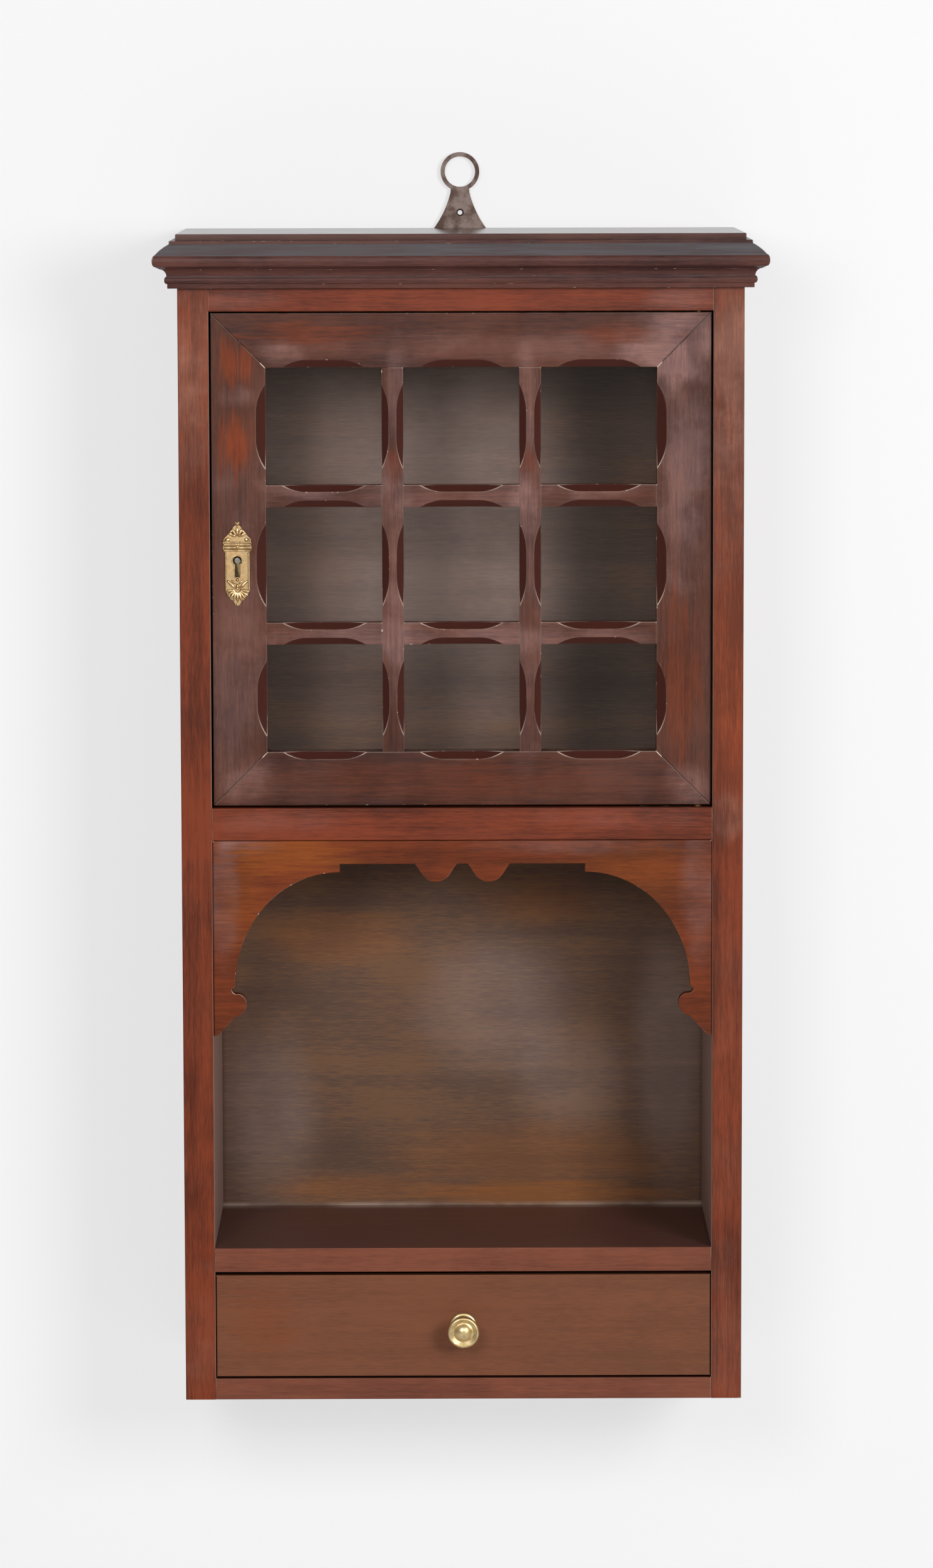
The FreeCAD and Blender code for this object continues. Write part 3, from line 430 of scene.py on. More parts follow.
def dusted(tree, base, upward, dust_line, dust_foot):
    """A colour with dust along the back of a shelf, or along the foot of the board behind it."""
    place = split(tree, object_place(tree))
    if dust_line:
        back = remap(tree, place["Y"], dust_line - shelf_dust, dust_line - 0.002)
        back = times(tree, back, remap(tree, upward, 0.80, 0.95, 0.0, 0.40))
        base = blend(tree, times(tree, back, settled_dust(tree)), base, dust_tone)
    if dust_foot:
        height = reckon(tree, "ABSOLUTE", reckon(tree, "SUBTRACT", place["Z"], dust_foot))
        foot = remap(tree, height, foot_dust, 0.0005, 0.0, 0.50)
        base = blend(tree, times(tree, foot, settled_dust(tree)), base, dust_tone)
    return base


def mitre_line(tree):
    """How far a point lies on one of the four mitre joints of the door."""
    low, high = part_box("door_stile_left")
    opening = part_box("lattice_rung_upper")[1].x
    x, _, z = split(tree, object_place(tree))
    across = reckon(tree, "ABSOLUTE", x)
    side = reckon(tree, "ADD", across, low.x)
    above = reckon(tree, "ABSOLUTE", reckon(tree, "ADD", side, reckon(tree, "SUBTRACT", high.z, z)))
    below = reckon(tree, "ABSOLUTE", reckon(tree, "ADD", side, reckon(tree, "SUBTRACT", z, low.z)))
    line = remap(tree, reckon(tree, "MINIMUM", above, below), mitre_wide, mitre_core)
    return times(tree, line, remap(tree, across, opening - 0.003, opening - 0.002))


print("arrises, corners and dust described")

# %% [markdown]
# One board is put together from the inside out: the figure of the wood, then old polish, which is a grey
# mauve bloom where it has gone dull and clear orange brown where it has been rubbed, then a grey film of
# dust and painted reflection on mouldings that look up, a darker top on a shelf and darker door faces that
# turn from the front, both painted shade, painted shade in the corners, and wear with painted highlights on
# the arrises. Every board is made by this one recipe with other amounts.

# %% Wood
bloom_tone = tone(132, 97, 91)
rubbed_tone = tone(128, 54, 18)
film_and_reflection_tone = tone(98, 94, 97)
lining_tone = tone(150, 122, 112)
white = tone(255, 255, 255)
polish_size = (0.03,) * 3
rubbed_size = (0.05, 0.0035)
film_and_reflection_size = (0.06, 0.004)
cleared_share = 0.75
top_shade_share = 0.85
crevice_shade_strength = 0.6
mitre_dark = 0.6
sheen = 0.16


def wood(name, along, colour, contrast=0.24, bloom=0.04, patches=(), clear=(), deep_shade_tone=None, film_and_reflection=0.0,
         wear_and_highlight=0.6, downward=0.6, gloss=0.44, mitred=False, lined=False, dull_tone=bloom_tone,
         clear_tone=rubbed_tone, top_shade_tone=None, dust_line=None, dust_foot=None, raggedness=1.0, fine=0.22,
         edge_radius=0.0009, patchy=0.44, bright=None):
    """Polished wood of one colour, its grain along one axis, with marks of age and painted light and shade.
    """
    material, tree, surface = new_finish(name, {"Specular IOR Level": sheen})
    figure, streaks, flecks = wood_figure(tree, along, fine)
    bright = bright or shade(colour, 1 + contrast)
    dark = shade(colour, 1 - contrast)
    base = ramp(tree, figure, [(figure_low, dark), (figure_middle, colour), (figure_high, bright)])
    grain_dark = shade(white, 1 - 0.7 * contrast)
    grain_bright = shade(white, 1 + 0.7 * contrast)
    grain = ramp(tree, figure, [(figure_low, grain_dark), (figure_high, grain_bright)])
    facing = split(tree, tree.nodes["place"].outputs["Normal"])
    front = remap(tree, facing["Y"], -0.80, -0.95)
    rubbed = patch_share(tree, clear, 1.8 * raggedness, along_grain(along, *rubbed_size), soft=0.9)
    cleared = blend(tree, cleared_share, base, blend(tree, 1.0, clear_tone, grain, "MULTIPLY"))
    base = blend(tree, rubbed, base, cleared)
    cloud = remap(tree, field(tree, polish_size, detail=6.0), 0.36, 0.62, 1.0 - 0.55 * raggedness, 1.0)
    dull = times(tree, reckon(tree, "ADD", patch_share(tree, patches, raggedness), bloom), cloud)
    dull = times(tree, dull, reckon(tree, "SUBTRACT", 1.0, rubbed))
    # Painted shade: faces turned away from the front, such as the chamfers, go darker and lose the bloom.
    if deep_shade_tone:
        dull = times(tree, dull, front)
        base = blend(tree, front, deep_shade_tone, base)
    base = blend(tree, dull, base, blend(tree, 1.0, dull_tone, grain, "MULTIPLY"))
    # A grey film on faces that look up: dust, and painted reflection of the bright room above.
    if film_and_reflection:
        wiped = field(tree, along_grain(along, *film_and_reflection_size), detail=5.0)
        wiped = remap(tree, wiped, 0.36, 0.60, 0.62, 1.0)
        upward = remap(tree, facing["Z"], 0.45, 0.75, 0.0, film_and_reflection)
        base = blend(tree, times(tree, upward, wiped), base, film_and_reflection_tone)
    # Painted shade: the top of a shelf, lit by low lamps, is turned to a darker tone.
    if top_shade_tone:
        base = blend(tree, remap(tree, facing["Z"], 0.80, 0.95, 0.0, top_shade_share), base, top_shade_tone)
    if lined:
        inward = times(tree, facing["X"], split(tree, object_place(tree))["X"])
        base = blend(tree, remap(tree, inward, -0.08, -0.14), base, lining_tone)
    # Painted shade in the corners between pieces, found by occlusion, in the dark tone of the joints.
    base = blend(tree, times(tree, crevice_shade_share(tree), crevice_shade_strength), base, joint_and_shade_tone)
    base = dusted(tree, base, facing["Z"], dust_line, dust_foot)
    rounded, worn_and_highlit = worn_and_highlit_edges(tree, wear_and_highlight, downward, edge_radius, patchy)
    if mitred:
        line = mitre_line(tree)
        base = blend(tree, times(tree, line, mitre_dark), base, joint_and_shade_tone)
        worn_and_highlit = times(tree, worn_and_highlit, remap(tree, line, 0.0, 1.0, 1.0, 0.15))
    base = blend(tree, worn_and_highlit, base, worn_and_highlight_tone)
    tree.links.new(base, surface.inputs["Base Color"])
    rough = reckon(tree, "ADD", times(tree, streaks, 0.10), gloss - 0.05)
    rough = reckon(tree, "ADD", rough, times(tree, dull, 0.20))
    tree.links.new(rough, surface.inputs["Roughness"])
    inputs = {"Height": flecks, "Strength": 0.20, "Distance": 0.0002, "Normal": rounded}
    tree.links.new(wire(tree, "ShaderNodeBump", inputs), surface.inputs["Normal"])
    return material


print("wood described")

# %% [markdown]
# Metals: brass for the knob, the keyhole plate, the lock and the pivots; steel for the screws; dark iron
# for the hanger. A metal's colour is its reflection, so each is a fully metallic shader whose colour and
# roughness are mottled by noise. Brass keeps its tarnish in hollows, which a short-range occlusion within
# the piece finds.

# %% Metals
def metal(name, bright, dull, grime, mottle_size, rough, hollow_reach):
    """Handled metal: bright where rubbed, dull in clouds, dark in its hollows."""
    material, tree, surface = new_finish(name, {"Metallic": 1.0})
    clouds = remap(tree, field(tree, [mottle_size] * 3, detail=5.0), 0.38, 0.64)
    specks = remap(tree, field(tree, [mottle_size / 8] * 3, detail=2.0), 0.60, 0.75)
    open_share = add(tree, "ShaderNodeAmbientOcclusion", {"Distance": hollow_reach}, samples=8,
                     only_local=True)
    hollow = remap(tree, open_share.outputs["AO"], 0.85, 0.30)
    colour = blend(tree, clouds, bright, dull)
    colour = blend(tree, times(tree, specks, 0.4), colour, grime)
    colour = blend(tree, times(tree, hollow, 0.95), colour, grime)
    tree.links.new(colour, surface.inputs["Base Color"])
    roughness = reckon(tree, "ADD", times(tree, clouds, 0.16), rough)
    roughness = reckon(tree, "ADD", roughness, times(tree, hollow, 0.25))
    tree.links.new(roughness, surface.inputs["Roughness"])
    rounded = wire(tree, "ShaderNodeBevel", {"Radius": 0.0003}, samples=4)
    inputs = {"Height": clouds, "Strength": 0.15, "Distance": 0.0001, "Normal": rounded}
    tree.links.new(wire(tree, "ShaderNodeBump", inputs), surface.inputs["Normal"])
    return material


brass = metal("worn_brass", tone(236, 212, 162), tone(206, 178, 128), tone(84, 60, 36),
              mottle_size=0.006, rough=0.30, hollow_reach=0.0015)
plate_brass = metal("plate_brass", tone(220, 188, 140), tone(178, 144, 102), tone(40, 24, 14),
                    mottle_size=0.004, rough=0.28, hollow_reach=0.0025)
old_brass = metal("old_brass", tone(112, 84, 48), tone(72, 50, 30), tone(36, 22, 14),
                  mottle_size=0.006, rough=0.50, hollow_reach=0.0015)
steel = metal("dull_steel", tone(172, 168, 160), tone(128, 122, 114), tone(60, 48, 40),
              mottle_size=0.004, rough=0.38, hollow_reach=0.001)
iron = metal("dark_iron", tone(116, 102, 96), tone(96, 78, 70), tone(76, 52, 42),
             mottle_size=0.010, rough=0.50, hollow_reach=0.002)
print("metals", [m.name for m in (brass, plate_brass, old_brass, steel, iron)])

# %% [markdown]
# The glass is one thin sheet. It bends nothing worth seeing, so it is a mix of clear and mirror, shared by
# the angle at which it is looked at, with a slight wave in its mirror as old sheet glass has, and a breath
# of dust.

# %% Glass
glass_index = 1.32
clear_share = 0.975
wave_size = (0.06,) * 3
dust_cloud_size = (0.09,) * 3


def sheet_glass(name):
    """A thin clear sheet: mirror by Fresnel, dust by noise, the rest lets light through."""
    material, tree = new_material(name)
    add(tree, "ShaderNodeTexCoord", name="place")
    height = field(tree, wave_size, detail=1.0)
    wave = wire(tree, "ShaderNodeBump", {"Height": height, "Strength": 0.05, "Distance": 0.002})
    inputs = {"Color": (1, 1, 1, 1), "Roughness": 0.03, "Normal": wave}
    mirror = wire(tree, "ShaderNodeBsdfGlossy", inputs)
    clear_colour = (clear_share, clear_share, clear_share, 1)
    clear = wire(tree, "ShaderNodeBsdfTransparent", {"Color": clear_colour})
    dusty = wire(tree, "ShaderNodeBsdfDiffuse", {"Color": tone(190, 184, 176)})
    facing = wire(tree, "ShaderNodeFresnel", {"IOR": glass_index, "Normal": wave})
    pane = wire(tree, "ShaderNodeMixShader", {0: facing, 1: clear, 2: mirror})
    dust = remap(tree, field(tree, dust_cloud_size, detail=1.0), 0.30, 0.70, 0.002, 0.006)
    pane = wire(tree, "ShaderNodeMixShader", {0: dust, 1: pane, 2: dusty})
    add(tree, "ShaderNodeOutputMaterial", {"Surface": pane})
    return material


glass = sheet_glass("sheet_glass")
print("glass", glass.name)

# %% [markdown]
# Old polish is not dull or rubbed everywhere alike. Hands rub the frame of the door near its lock, damp
# dulls the top corners, and the niche keeps the marks of what stood in it. Two broad pale patches in the
# middle of the back behind the door are a painted pool of light. Each patch below has its middle across and
# up, its half width and half height, in millimetres, and its strength.

# %% Where the polish is dull or rubbed
door_patches = [(0, -265, 125, 125, 0.28), (150, -115, 40, 35, 0.90), (154, -200, 24, 80, 0.55),
                (-154, -340, 26, 100, 0.30), (-154, -225, 26, 35, 0.26), (-154, -152, 20, 10, 0.40),
                (-122, -122, 20, 10, 0.55), (0, -118, 140, 12, 0.25), (44, -225, 12, 26, 0.60),
                (-44, -215, 12, 30, 0.30), (-110, -212, 35, 10, 0.45), (100, -212, 45, 10, 0.35),
                (-100, -320, 45, 12, 0.40), (20, -320, 55, 12, 0.30), (100, -320, 30, 10, 0.35),
                (158, -424, 20, 18, 0.50), (-150, -420, 25, 20, 0.35), (-44, -150, 10, 40, 0.35),
                (44, -150, 10, 40, 0.35), (-44, -300, 10, 50, 0.35), (44, -380, 10, 50, 0.20)]
door_clear = [(-158, -128, 14, 20, 0.85), (-157, -184, 12, 24, 0.90), (-100, -109, 50, 10, 0.50),
              (106, -110, 34, 9, 0.45), (-44, -198, 10, 14, 0.55), (44, -196, 10, 12, 0.40),
              (-20, -418, 110, 18, 0.25), (150, -350, 18, 70, 0.45)]
case_patches = [(-188, -140, 20, 80, 0.70), (186, -125, 22, 70, 0.90), (184, -215, 18, 70, 0.45),
                (184, -443, 14, 22, 0.45), (-184, -815, 18, 60, 0.20), (184, -815, 18, 60, 0.22),
                (184, -640, 18, 130, 0.10)]
case_clear = [(184, -330, 18, 90, 0.45)]
rail_patches = [(110, -444, 70, 10, 0.15), (-130, -446, 50, 10, 0.15), (-150, -85, 35, 8, 0.25),
                (155, -85, 30, 10, 0.35)]
# The last two patches, broad and pale in the middle of the back behind the door, are a painted pool of
# light.
inside_dull_and_light = [(20, -600, 60, 60, 0.40), (80, -650, 50, 50, 0.35), (-140, -680, 40, 80, 0.45),
              (150, -640, 30, 100, 0.55), (10, -265, 100, 150, 0.95), (-80, -260, 90, 150, 0.60)]
niche_clear = [(60, -740, 110, 12, 0.80), (60, -525, 50, 20, 0.40), (-90, -550, 60, 24, 0.45),
               (50, -712, 110, 30, 0.45), (-80, -735, 70, 12, 0.45)]
drawer_clear = [(-140, -800, 26, 30, 0.30)]
apron_clear = [(-120, -470, 55, 14, 0.60), (-155, -500, 20, 40, 0.35), (120, -485, 50, 30, 0.35)]
apron_dull = [(-166, -500, 12, 60, 0.40), (164, -490, 14, 60, 0.35), (80, -464, 80, 8, 0.30),
              (-150, -464, 30, 8, 0.40)]
dull_lists = (door_patches, case_patches, rail_patches, inside_dull_and_light, apron_dull)
print(sum(map(len, dull_lists)), "dull patches")

# %% [markdown]
# Now every board gets its wood, with the grain running the long way of the board, as a joiner would lay it:
# upright in the sides and stiles, level in the rails and shelves, and front to back in the short returns. A
# wide panel and the apron have level grain whatever their shape.

# %% Finish every piece of the frame
level_grain = ("back_panel", "drawer_bottom", "apron")
kind_of = {"apron": "apron", "drawer_front": "drawer", "niche_shelf": "shelf", "bottom_board": "shelf",
           "roof_board": "rail", "mid_board": "rail", "top_cap": "cap"}
for end in ("lower", "upper"):
    kind_of["pivot_plate_" + end] = "old_brass"
    kind_of["door_pivot_plate_" + end] = "old_brass"
finishes = {
    "mahogany_case": dict(colour=tone(104, 44, 22), patches=case_patches, clear=case_clear, lined=True,
                          dull_tone=tone(146, 96, 78), clear_tone=tone(150, 72, 40), wear_and_highlight=0.5,
                          contrast=0.42),
    "rail": dict(colour=tone(105, 45, 24), patches=rail_patches, bloom=0.03, wear_and_highlight=0.4, contrast=0.42),
    "apron": dict(colour=tone(101, 44, 18), patches=apron_dull, clear=apron_clear, bloom=0.02, wear_and_highlight=0.9,
                  downward=0.10, clear_tone=tone(142, 76, 24), gloss=0.38, contrast=0.34),
    "drawer": dict(colour=tone(112, 68, 46), clear=drawer_clear, contrast=0.14, fine=0.35, wear_and_highlight=0.4),
    "shelf": dict(colour=tone(114, 64, 47), top_shade_tone=tone(84, 54, 48), gloss=0.34, wear_and_highlight=0.4,
                  dust_line=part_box("back_panel")[0].y),
    "mahogany_door": dict(colour=tone(70, 35, 21), patches=door_patches, clear=door_clear, bloom=0.11,
                          deep_shade_tone=tone(66, 28, 20), wear_and_highlight=1.0, downward=0.08, mitred=True, contrast=0.37,
                          edge_radius=0.0013, patchy=0.30),
    "mahogany_cornice": dict(colour=tone(74, 43, 38), bloom=0.08, film_and_reflection=1.0, wear_and_highlight=0.5, gloss=0.36,
                             contrast=0.42),
    "cap": dict(colour=tone(84, 60, 56), bloom=0.10, wear_and_highlight=0.3, gloss=0.16),
    "mahogany_inside": dict(colour=tone(95, 70, 56), bright=tone(112, 80, 56), patches=inside_dull_and_light,
                            clear=niche_clear, dull_tone=tone(136, 115, 107), clear_tone=tone(152, 92, 44),
                            wear_and_highlight=0.2, gloss=0.5, contrast=0.18, raggedness=0.3, fine=0.34,
                            dust_foot=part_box("niche_shelf")[1].z),
    "drawer_lining": dict(colour=tone(166, 126, 86), bloom=0.0, wear_and_highlight=0.2, gloss=0.6),
}
other_finishes = {"brass": brass, "old_brass": old_brass, "steel": steel, "iron": iron, "glass": glass}
made_woods = {}


def grain_axis(node):
    """The longest direction of a piece."""
    low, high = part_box(node)
    size = high - low
    return "XYZ"[max(range(3), key=lambda axis: size[axis])]


def finish_for(kind, along):
    """The material of one kind of board, made once for each direction of the grain."""
    if kind in other_finishes:
        return other_finishes[kind]
    name = kind + "_along_" + along.lower()
    if name not in made_woods:
        made_woods[name] = wood(name, along, **finishes[kind])
    return made_woods[name]


for node, piece in nodes.items():
    along = "X" if node in level_grain else grain_axis(node)
    piece.material_slots[0].material = finish_for(kind_of.get(node, slot_of[node]), along)
print(len(made_woods), "wood finishes on", len(nodes), "pieces")

# %% [markdown]
# The cornice is two lengths of stuck moulding on each face of the case: an upper one with a slope and a
# round nose, and a lower bed with a cove and a bead. Each is one outline planed along a straight board and
# mitred at the corners, so a Geometry Nodes tree makes every length from its outline: it draws the outline
# out to the length, closes it, and slides each point along by as much as it stands out from the case, which
# gives the mitre.

# %% Moulding outlines
case_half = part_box("side_right")[1].x
case_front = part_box("side_right")[0].y
arris_ease = 0.0004


def bow(start, end, sag, count=9):
    """Points after start on an arc to end that bows out by sag."""
    run = math.hypot(end[0] - start[0], end[1] - start[1])
    across = ((start[1] - end[1]) / run, (end[0] - start[0]) / run)
    made = []
    for step in range(1, count + 1):
        share = step / count
        lift = 4 * share * (1 - share) * sag
        made.append((start[0] + (end[0] - start[0]) * share + across[0] * lift,
                     start[1] + (end[1] - start[1]) * share + across[1] * lift))
    return made


def half_round(start, end, out, count=12):
    """Points after start on a half ellipse to end, straight below it, that stands out to a given width."""
    middle = (start[1] + end[1]) / 2
    half = (start[1] - end[1]) / 2
    turns = [math.pi * step / count for step in range(1, count + 1)]
    wide = out - start[0]
    return [(start[0] + wide * math.sin(turn), middle + half * math.cos(turn)) for turn in turns]


def eased(points):
    """An outline with its sharp corners softened."""
    corners = [Vector(point) for point in points]
    made = []
    for before, here, after in zip(corners[-1:] + corners, corners, corners[1:] + corners[:1]):
        come = (here - before).normalized()
        go = (after - here).normalized()
        if here.x < 1e-6 or come.dot(go) > 0.9:
            made.append(tuple(here))
            continue
        reach = min(arris_ease, (here - before).length / 3, (after - here).length / 3)
        middle = here + (go - come) * reach * 0.25
        made += [tuple(here - come * reach), tuple(middle), tuple(here + go * reach)]
    return made


cap_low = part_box("cornice_front")[1].z
cornice_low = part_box("cornice_front")[0].z
bed_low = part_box("bed_mould_front")[0].z
slope_sag = 0.0006
nose_out = 0.0165
cove_sag = -0.0008
bead_out = 0.0084
top = (0.0052, cap_low)
ledge = (top[0], cap_low - 0.0021)
slope = (0.0146, ledge[1] - 0.0074)
nose = (slope[0], slope[1] - 0.0079)
foot = (0.0110, cornice_low)
cornice_outline = [(0, cap_low), top, ledge] + bow(ledge, slope, slope_sag)
cornice_outline += half_round(slope, nose, nose_out) + [foot, (0, cornice_low)]
bed_top = (0.0104, cornice_low)
cove = (0.0069, cornice_low - 0.0044)
bead = (cove[0], cove[1] - 0.0006)
bead_end = (cove[0], bead[1] - 0.0050)
band = (0.0064, bead_end[1])
bed_outline = [(0, cornice_low), bed_top] + bow(bed_top, cove, cove_sag)
bed_outline += [bead] + half_round(bead, bead_end, bead_out)
bed_outline += [band, (band[0], bed_low), (0, bed_low)]
print(len(cornice_outline), "and", len(bed_outline), "points in the outlines")

# %% [markdown]
# Three Geometry Nodes trees follow, for mouldings, petals and screws. They begin and end alike, so those
# ends are written once, and so is the step that runs a tree and keeps its result as a plain mesh.

# %% Helpers for Geometry Nodes
merge_distance = 1e-6


def new_group(name, sizes, counts=()):
    """An empty tree: a shape, the named sizes and counts and a material go in, and a shape comes out."""
    tree = bpy.data.node_groups.new(name, "GeometryNodeTree")
    kinds = {"Shape": "Geometry", **dict.fromkeys(counts, "Int"), **dict.fromkeys(sizes, "Float"),
             "Material": "Material"}
    for label, kind in kinds.items():
        tree.interface.new_socket(label, in_out="INPUT", socket_type="NodeSocket" + kind)
    tree.interface.new_socket("Shape", in_out="OUTPUT", socket_type="NodeSocketGeometry")
    return tree, add(tree, "NodeGroupInput").outputs


def close_group(tree, given, shape):
    """The end of every tree: real faces, one material, and out."""
    solid = wire(tree, "GeometryNodeRealizeInstances", {0: shape})
    dressed = wire(tree, "GeometryNodeSetMaterial", {"Geometry": solid, "Material": given["Material"]})
    add(tree, "NodeGroupOutput", {0: dressed})


def grown(name, seed_mesh, tree, values, place, soft_angle=28):
    """A plain mesh made by a tree from a starting mesh, put in its place."""
    maker = bpy.data.objects.new(name, seed_mesh)
    scene.collection.objects.link(maker)
    modifier = maker.modifiers.new("shape", "NODES")
    modifier.node_group = tree
    for item in tree.interface.items_tree:
        if item.in_out == "INPUT" and item.name in values:
            modifier[item.identifier] = values[item.name]
    shaped = maker.evaluated_get(bpy.context.evaluated_depsgraph_get())
    mesh = bpy.data.meshes.new_from_object(shaped)
    maker.modifiers.clear()
    maker.data = mesh
    mesh.transform(place)
    mesh.shade_smooth()
    mesh.set_sharp_from_angle(angle=math.radians(soft_angle))
    return maker


print("tree helpers ready")

# %% [markdown]
# The lengths of moulding: one on the front, mitred at both ends, and one on each side, mitred in front and
# cut square against the wall.

# %% Mouldings
def moulding_tree():
    """An outline drawn out along X, with its ends cut at the given mitres."""
    tree, given = new_group("moulding_run", ["Length", "Start mitre", "End mitre"])
    along = vector_of(tree, X=given["Length"])
    inputs = {"Mesh": given["Shape"], "Offset": along, "Offset Scale": 1.0, "Individual": False}
    drawn = wire(tree, "GeometryNodeExtrudeMesh", inputs)
    start = wire(tree, "GeometryNodeFlipFaces", {"Mesh": given["Shape"]})
    whole = add(tree, "GeometryNodeJoinGeometry")
    tree.links.new(drawn, whole.inputs[0])
    tree.links.new(start, whole.inputs[0])
    inputs = {"Geometry": whole.outputs[0], "Distance": merge_distance}
    whole = wire(tree, "GeometryNodeMergeByDistance", inputs)
    x, out, _ = split(tree, wire(tree, "GeometryNodeInputPosition"))
    share = reckon(tree, "DIVIDE", x, given["Length"])
    end_slide = times(tree, share, given["End mitre"])
    start_slide = times(tree, reckon(tree, "SUBTRACT", 1.0, share), given["Start mitre"])
    slide = times(tree, out, reckon(tree, "SUBTRACT", end_slide, start_slide))
    offset = vector_of(tree, X=slide)
    cut = wire(tree, "GeometryNodeSetPosition", {"Geometry": whole, "Offset": offset})
    close_group(tree, given, cut)
    return tree


def outline_mesh(name, points):
    """A flat face of an outline, standing across the X axis."""
    mesh = bpy.data.meshes.new(name)
    mesh.from_pydata([(0, out, z) for out, z in points], [], [list(range(len(points)))])
    if mesh.polygons[0].normal.x < 0:
        mesh.flip_normals()
    return mesh


run_tree = moulding_tree()
case_depth = -case_front
runs = {"front": (2 * case_half, 1.0, 1.0, math.pi, (case_half, case_front, 0), "x"),
        "right": (case_depth, 0.0, 1.0, -math.pi / 2, (case_half, 0, 0), "y"),
        "left": (case_depth, 1.0, 0.0, math.pi / 2, (-case_half, case_front, 0), "y")}
for moulding, points in (("cornice", eased(cornice_outline)), ("bed_mould", eased(bed_outline))):
    for side, (length, start_mitre, end_mitre, turn, corner, along) in runs.items():
        node = moulding + "_" + side
        values = {"Length": length, "Start mitre": start_mitre, "End mitre": end_mitre,
                  "Material": made_woods["mahogany_cornice_along_" + along]}
        place = Matrix.Translation(corner) @ Matrix.Rotation(turn, 4, "Z")
        run = grown("moulding_" + node, outline_mesh(node, points), run_tree, values, place)
        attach(run, "case")
        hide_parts(node)
        print(node, len(run.data.polygons), "faces")

# %% [markdown]
# The keyhole plate is cast brass in low relief: a plain field round the keyhole with a bead down each edge,
# a stepped head with scrolls and a leafy crest, and a shell at the foot. A caster would carve the pattern
# in wax. Here a thin plate is cut to the outline, and beads, bars and leaves are laid on it.

# %% Keyhole plate: field and outline
plate_low, plate_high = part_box("escutcheon")
key_x = (plate_low.x + plate_high.x) / 2
keyhole_drop = 0.0273
key_z = plate_high.z - keyhole_drop
plate_place = Matrix.Translation((key_x, plate_high.y, key_z)) @ Matrix.Rotation(math.radians(90), 4, "X")
field_thickness = 0.0005
rim_thickness = 0.0004
mm = 0.001
right_edge = [(0, 27.2), (1.3, 26.8), (1.5, 25.8), (1.1, 24.7), (2.2, 23.9), (3.4, 22.2), (5.3, 20.6),
              (5.6, 19.2), (6.8, 17.7), (8.8, 15.6), (9.5, 14.4), (9.2, 13.1), (9.8, 12.6), (9.8, 7.0),
              (8.7, 6.4), (8.7, -21.0), (7.4, -22.4), (6.8, -24.0), (5.6, -25.2), (4.8, -26.6), (3.6, -27.4),
              (2.4, -28.6), (1.6, -30.4), (0, -31.8)]
left_edge = [(-x, y) for x, y in reversed(right_edge[1:-1])]
slot_half = 1.9
slot_foot = -11.5
eye_radius = 3.5
eye_start = -57
eye_sweep = 180 - 2 * eye_start
eye_steps = 24
eye_turns = [math.radians(eye_start + eye_sweep * step / eye_steps) for step in range(eye_steps + 1)]
keyhole = [(eye_radius * math.cos(turn), eye_radius * math.sin(turn)) for turn in eye_turns]
keyhole += [(-slot_half, slot_foot), (slot_half, slot_foot)]


def flat_curve(name, outlines, extrude=0.0, bevel=0.0):
    """A mesh made from closed outlines: a filled plate or, with a bevel, a round bead along each."""
    curve = bpy.data.curves.new(name, "CURVE")
    curve.dimensions = "3D" if bevel else "2D"
    curve.fill_mode = "FULL" if bevel else "BOTH"
    curve.extrude = extrude
    curve.bevel_depth = bevel
    curve.bevel_resolution = 1
    for outline in outlines:
        spline = curve.splines.new("POLY")
        spline.points.add(len(outline) - 1)
        spline.points.foreach_set("co", [v for x, y in outline for v in (x * mm, y * mm, 0, 1)])
        spline.use_cyclic_u = True
    holder = bpy.data.objects.new(name, curve)
    scene.collection.objects.link(holder)
    shaped = holder.evaluated_get(bpy.context.evaluated_depsgraph_get())
    mesh = bpy.data.meshes.new_from_object(shaped)
    bpy.data.objects.remove(holder)
    return mesh


plate_field = flat_curve("plate_field", [right_edge + left_edge, keyhole], extrude=field_thickness / 2)
plate_field.transform(Matrix.Translation((0, 0, field_thickness / 2)))
key_rim = flat_curve("key_rim", [keyhole], bevel=rim_thickness)
key_rim.transform(Matrix.Translation((0, 0, field_thickness)))
print("plate field", len(plate_field.polygons), "faces, rim", len(key_rim.polygons))

# %% [markdown]
# The crest is a fan of five petals and the shell one of nine. Equal petals at equal angles are a rule, so a
# Geometry Nodes tree sets them out. Each petal is a long round boss, half sunk in the plate.

